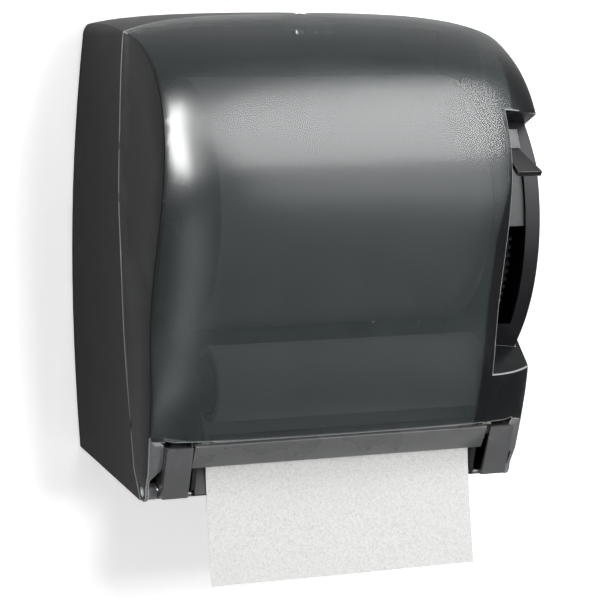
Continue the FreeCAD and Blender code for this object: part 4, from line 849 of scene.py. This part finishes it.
@dataclass(frozen=True)
class Softbox:
    """One rectangular lamp: where it hangs, what it points at, its size in metres and its power."""

    name: str
    place: Place
    size: tuple[float, float]
    power: float
    shine: Shine = Shine.ALL
    target: Place = (0.02, -0.20, 0.06)

    def hang(self) -> None:
        """Hangs the lamp and points it."""
        lamp = bpy.data.lights.new(self.name, "AREA")
        lamp.shape = "RECTANGLE"
        lamp.size, lamp.size_y = self.size
        lamp.energy = self.power
        holder = bpy.data.objects.new(self.name, lamp)
        bpy.context.scene.collection.objects.link(holder)
        holder.location = self.place
        sight = Vector(self.target) - Vector(self.place)
        holder.rotation_euler = sight.to_track_quat("-Z", "Y").to_euler()
        if self.shine is Shine.GLOSS:
            holder.visible_diffuse = holder.visible_transmission = False
        if self.shine is Shine.MATT:
            holder.visible_glossy = False


SOFTBOXES = (
    Softbox("key_softbox", (0.30, -1.50, 0.16), (0.34, 0.34), 12.0, Shine.MATT),
    Softbox("top_softbox", (0.30, -0.95, 1.15), (0.90, 0.40), 6.0),
    Softbox("key_sheen", (0.42, -1.16, 0.93), (2.00, 1.22), 235.0, Shine.GLOSS),
    Softbox("low_sheen", (0.60, -1.30, 0.0), (1.50, 0.75), 36.0, Shine.GLOSS),
    Softbox("left_sheen", (-0.86, -0.92, 0.66), (0.16, 1.20), 180.0, Shine.GLOSS,
            (-0.12, -0.18, 0.08)),
    Softbox("corner_sheen", (-0.71, -1.02, -0.60), (0.42, 0.42), 5.0, Shine.GLOSS,
            (-0.10, -0.18, 0.0)),
    Softbox("top_fill", (0.10, -0.45, 1.45), (0.9, 0.6), 2.5, target=(0.0, -0.15, 0.1)),
)


@dataclass
class Studio:
    """The wall and floor behind the dispenser, the lamps and the camera.

    Lengths are in metres, but the lens and its sensor are in millimetres. Angles are in degrees.
    """

    sweep_width: float = 3.2
    wall_height: float = 1.3
    wall_gap: float = 0.0015
    floor_drop: float = 0.95
    floor_reach: float = 2.6
    cove: float = 0.25
    cove_facets: int = 12
    paint: float = 0.93
    paint_roughness: float = 0.95
    glow: float = 0.47
    room_light: float = 0.26
    lens: float = 125.17
    sensor: float = 36.0
    eye: Place = (-0.52997, -1.53376, 0.15795)
    eye_turn: Place = (82.523, 0.0, -20.0)

    def build(self) -> None:
        """Sets the backdrop, the world, the lamps and the camera."""
        self._backdrop()
        self._world()
        for softbox in SOFTBOXES:
            softbox.hang()
        self._camera()

    def _backdrop(self) -> None:
        """Folds a plane into a wall and a floor with a rounded cove between them."""
        bpy.ops.object.select_all(action="DESELECT")
        bpy.ops.mesh.primitive_plane_add(size=1.0)
        sweep = bpy.context.object
        sweep.name = sweep.data.name = "studio_sweep"
        for point in sweep.data.vertices:
            height = self.wall_height if point.co.y > 0 else -self.floor_drop
            point.co = (math.copysign(self.sweep_width / 2, point.co.x), self.wall_gap, height)
        bpy.ops.object.mode_set(mode="EDIT")
        bpy.ops.mesh.select_mode(type="EDGE")
        bpy.ops.mesh.select_all(action="DESELECT")
        bpy.ops.object.mode_set(mode="OBJECT")
        for edge in sweep.data.edges:
            edge.select = all(sweep.data.vertices[v].co.z < 0 for v in edge.vertices)
        bpy.ops.object.mode_set(mode="EDIT")
        bpy.ops.mesh.extrude_region_move(
            TRANSFORM_OT_translate={"value": (0.0, -self.floor_reach, 0.0)})
        bpy.ops.object.mode_set(mode="OBJECT")
        round_edges(sweep, self.cove, segments=self.cove_facets, angle=ROUND_SHADING)
        smooth(sweep, ROUND_SHADING)
        sweep.data.materials.append(self._backdrop_paint())

    def _backdrop_paint(self) -> bpy.types.Material:
        """Makes a white paint that keeps shadows and is clear from behind.

        Returns:
            The backdrop's material.
        """
        paint = bpy.data.materials.new("studio_white")
        paint.use_nodes = True
        nodes, links = paint.node_tree.nodes, paint.node_tree.links
        shader = nodes["Principled BSDF"]
        shader.inputs["Base Color"].default_value = (self.paint, self.paint, self.paint, 1.0)
        shader.inputs["Roughness"].default_value = self.paint_roughness
        shader.inputs["Specular IOR Level"].default_value = 0.0
        shader.inputs["Emission Color"].default_value = (1.0, 1.0, 1.0, 1.0)
        rays = nodes.new("ShaderNodeLightPath")
        glow = nodes.new("ShaderNodeMath")
        glow.operation = "MULTIPLY"
        glow.inputs[1].default_value = self.glow
        links.new(rays.outputs["Is Camera Ray"], glow.inputs[0])
        links.new(glow.outputs["Value"], shader.inputs["Emission Strength"])
        behind = nodes.new("ShaderNodeNewGeometry")
        clear = nodes.new("ShaderNodeBsdfTransparent")
        pick = nodes.new("ShaderNodeMixShader")
        links.new(behind.outputs["Backfacing"], pick.inputs["Fac"])
        links.new(shader.outputs["BSDF"], pick.inputs[1])
        links.new(clear.outputs["BSDF"], pick.inputs[2])
        links.new(pick.outputs["Shader"], nodes["Material Output"].inputs["Surface"])
        return paint

    def _world(self) -> None:
        """Lights the room softly, and shows white where a ray meets nothing."""
        world = bpy.data.worlds.new("studio_room")
        bpy.context.scene.world = world
        world.use_nodes = True
        nodes, links = world.node_tree.nodes, world.node_tree.links
        room = nodes["Background"]
        room.inputs["Color"].default_value = (1.0, 1.0, 1.0, 1.0)
        rays = nodes.new("ShaderNodeLightPath")
        level = nodes.new("ShaderNodeMapRange")
        level.inputs["To Min"].default_value = self.room_light
        level.inputs["To Max"].default_value = 1.0
        links.new(rays.outputs["Is Camera Ray"], level.inputs["Value"])
        links.new(level.outputs["Result"], room.inputs["Strength"])

    def _camera(self) -> None:
        """Stands the camera to the left of the dispenser and a little above its middle."""
        lens = bpy.data.cameras.new("view")
        lens.lens = self.lens
        lens.sensor_width = self.sensor
        lens.sensor_fit = "HORIZONTAL"
        eye = bpy.data.objects.new("view", lens)
        eye.location = self.eye
        eye.rotation_euler = [math.radians(turn) for turn in self.eye_turn]
        bpy.context.scene.collection.objects.link(eye)
        bpy.context.scene.camera = eye


def main() -> None:
    """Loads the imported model, dresses every part of it and sets the studio round it."""
    logging.basicConfig(level=logging.INFO, format="%(name)s: %(message)s")
    model = Dispenser(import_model())
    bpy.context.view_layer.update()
    Shells(model).build()
    FeedMouth(model).build()
    LeverStation(model).build()
    PaperRoll(model, "main_roll", "roll_full", "main_roll").build()
    PaperRoll(model, "stub_roll", "roll_part_used", "stub").build()
    TowelSheet(model).build()
    model.dress_the_rest()
    Studio().build()
    bpy.context.scene.view_settings.view_transform = "Standard"


if __name__ == "__main__":
    main()
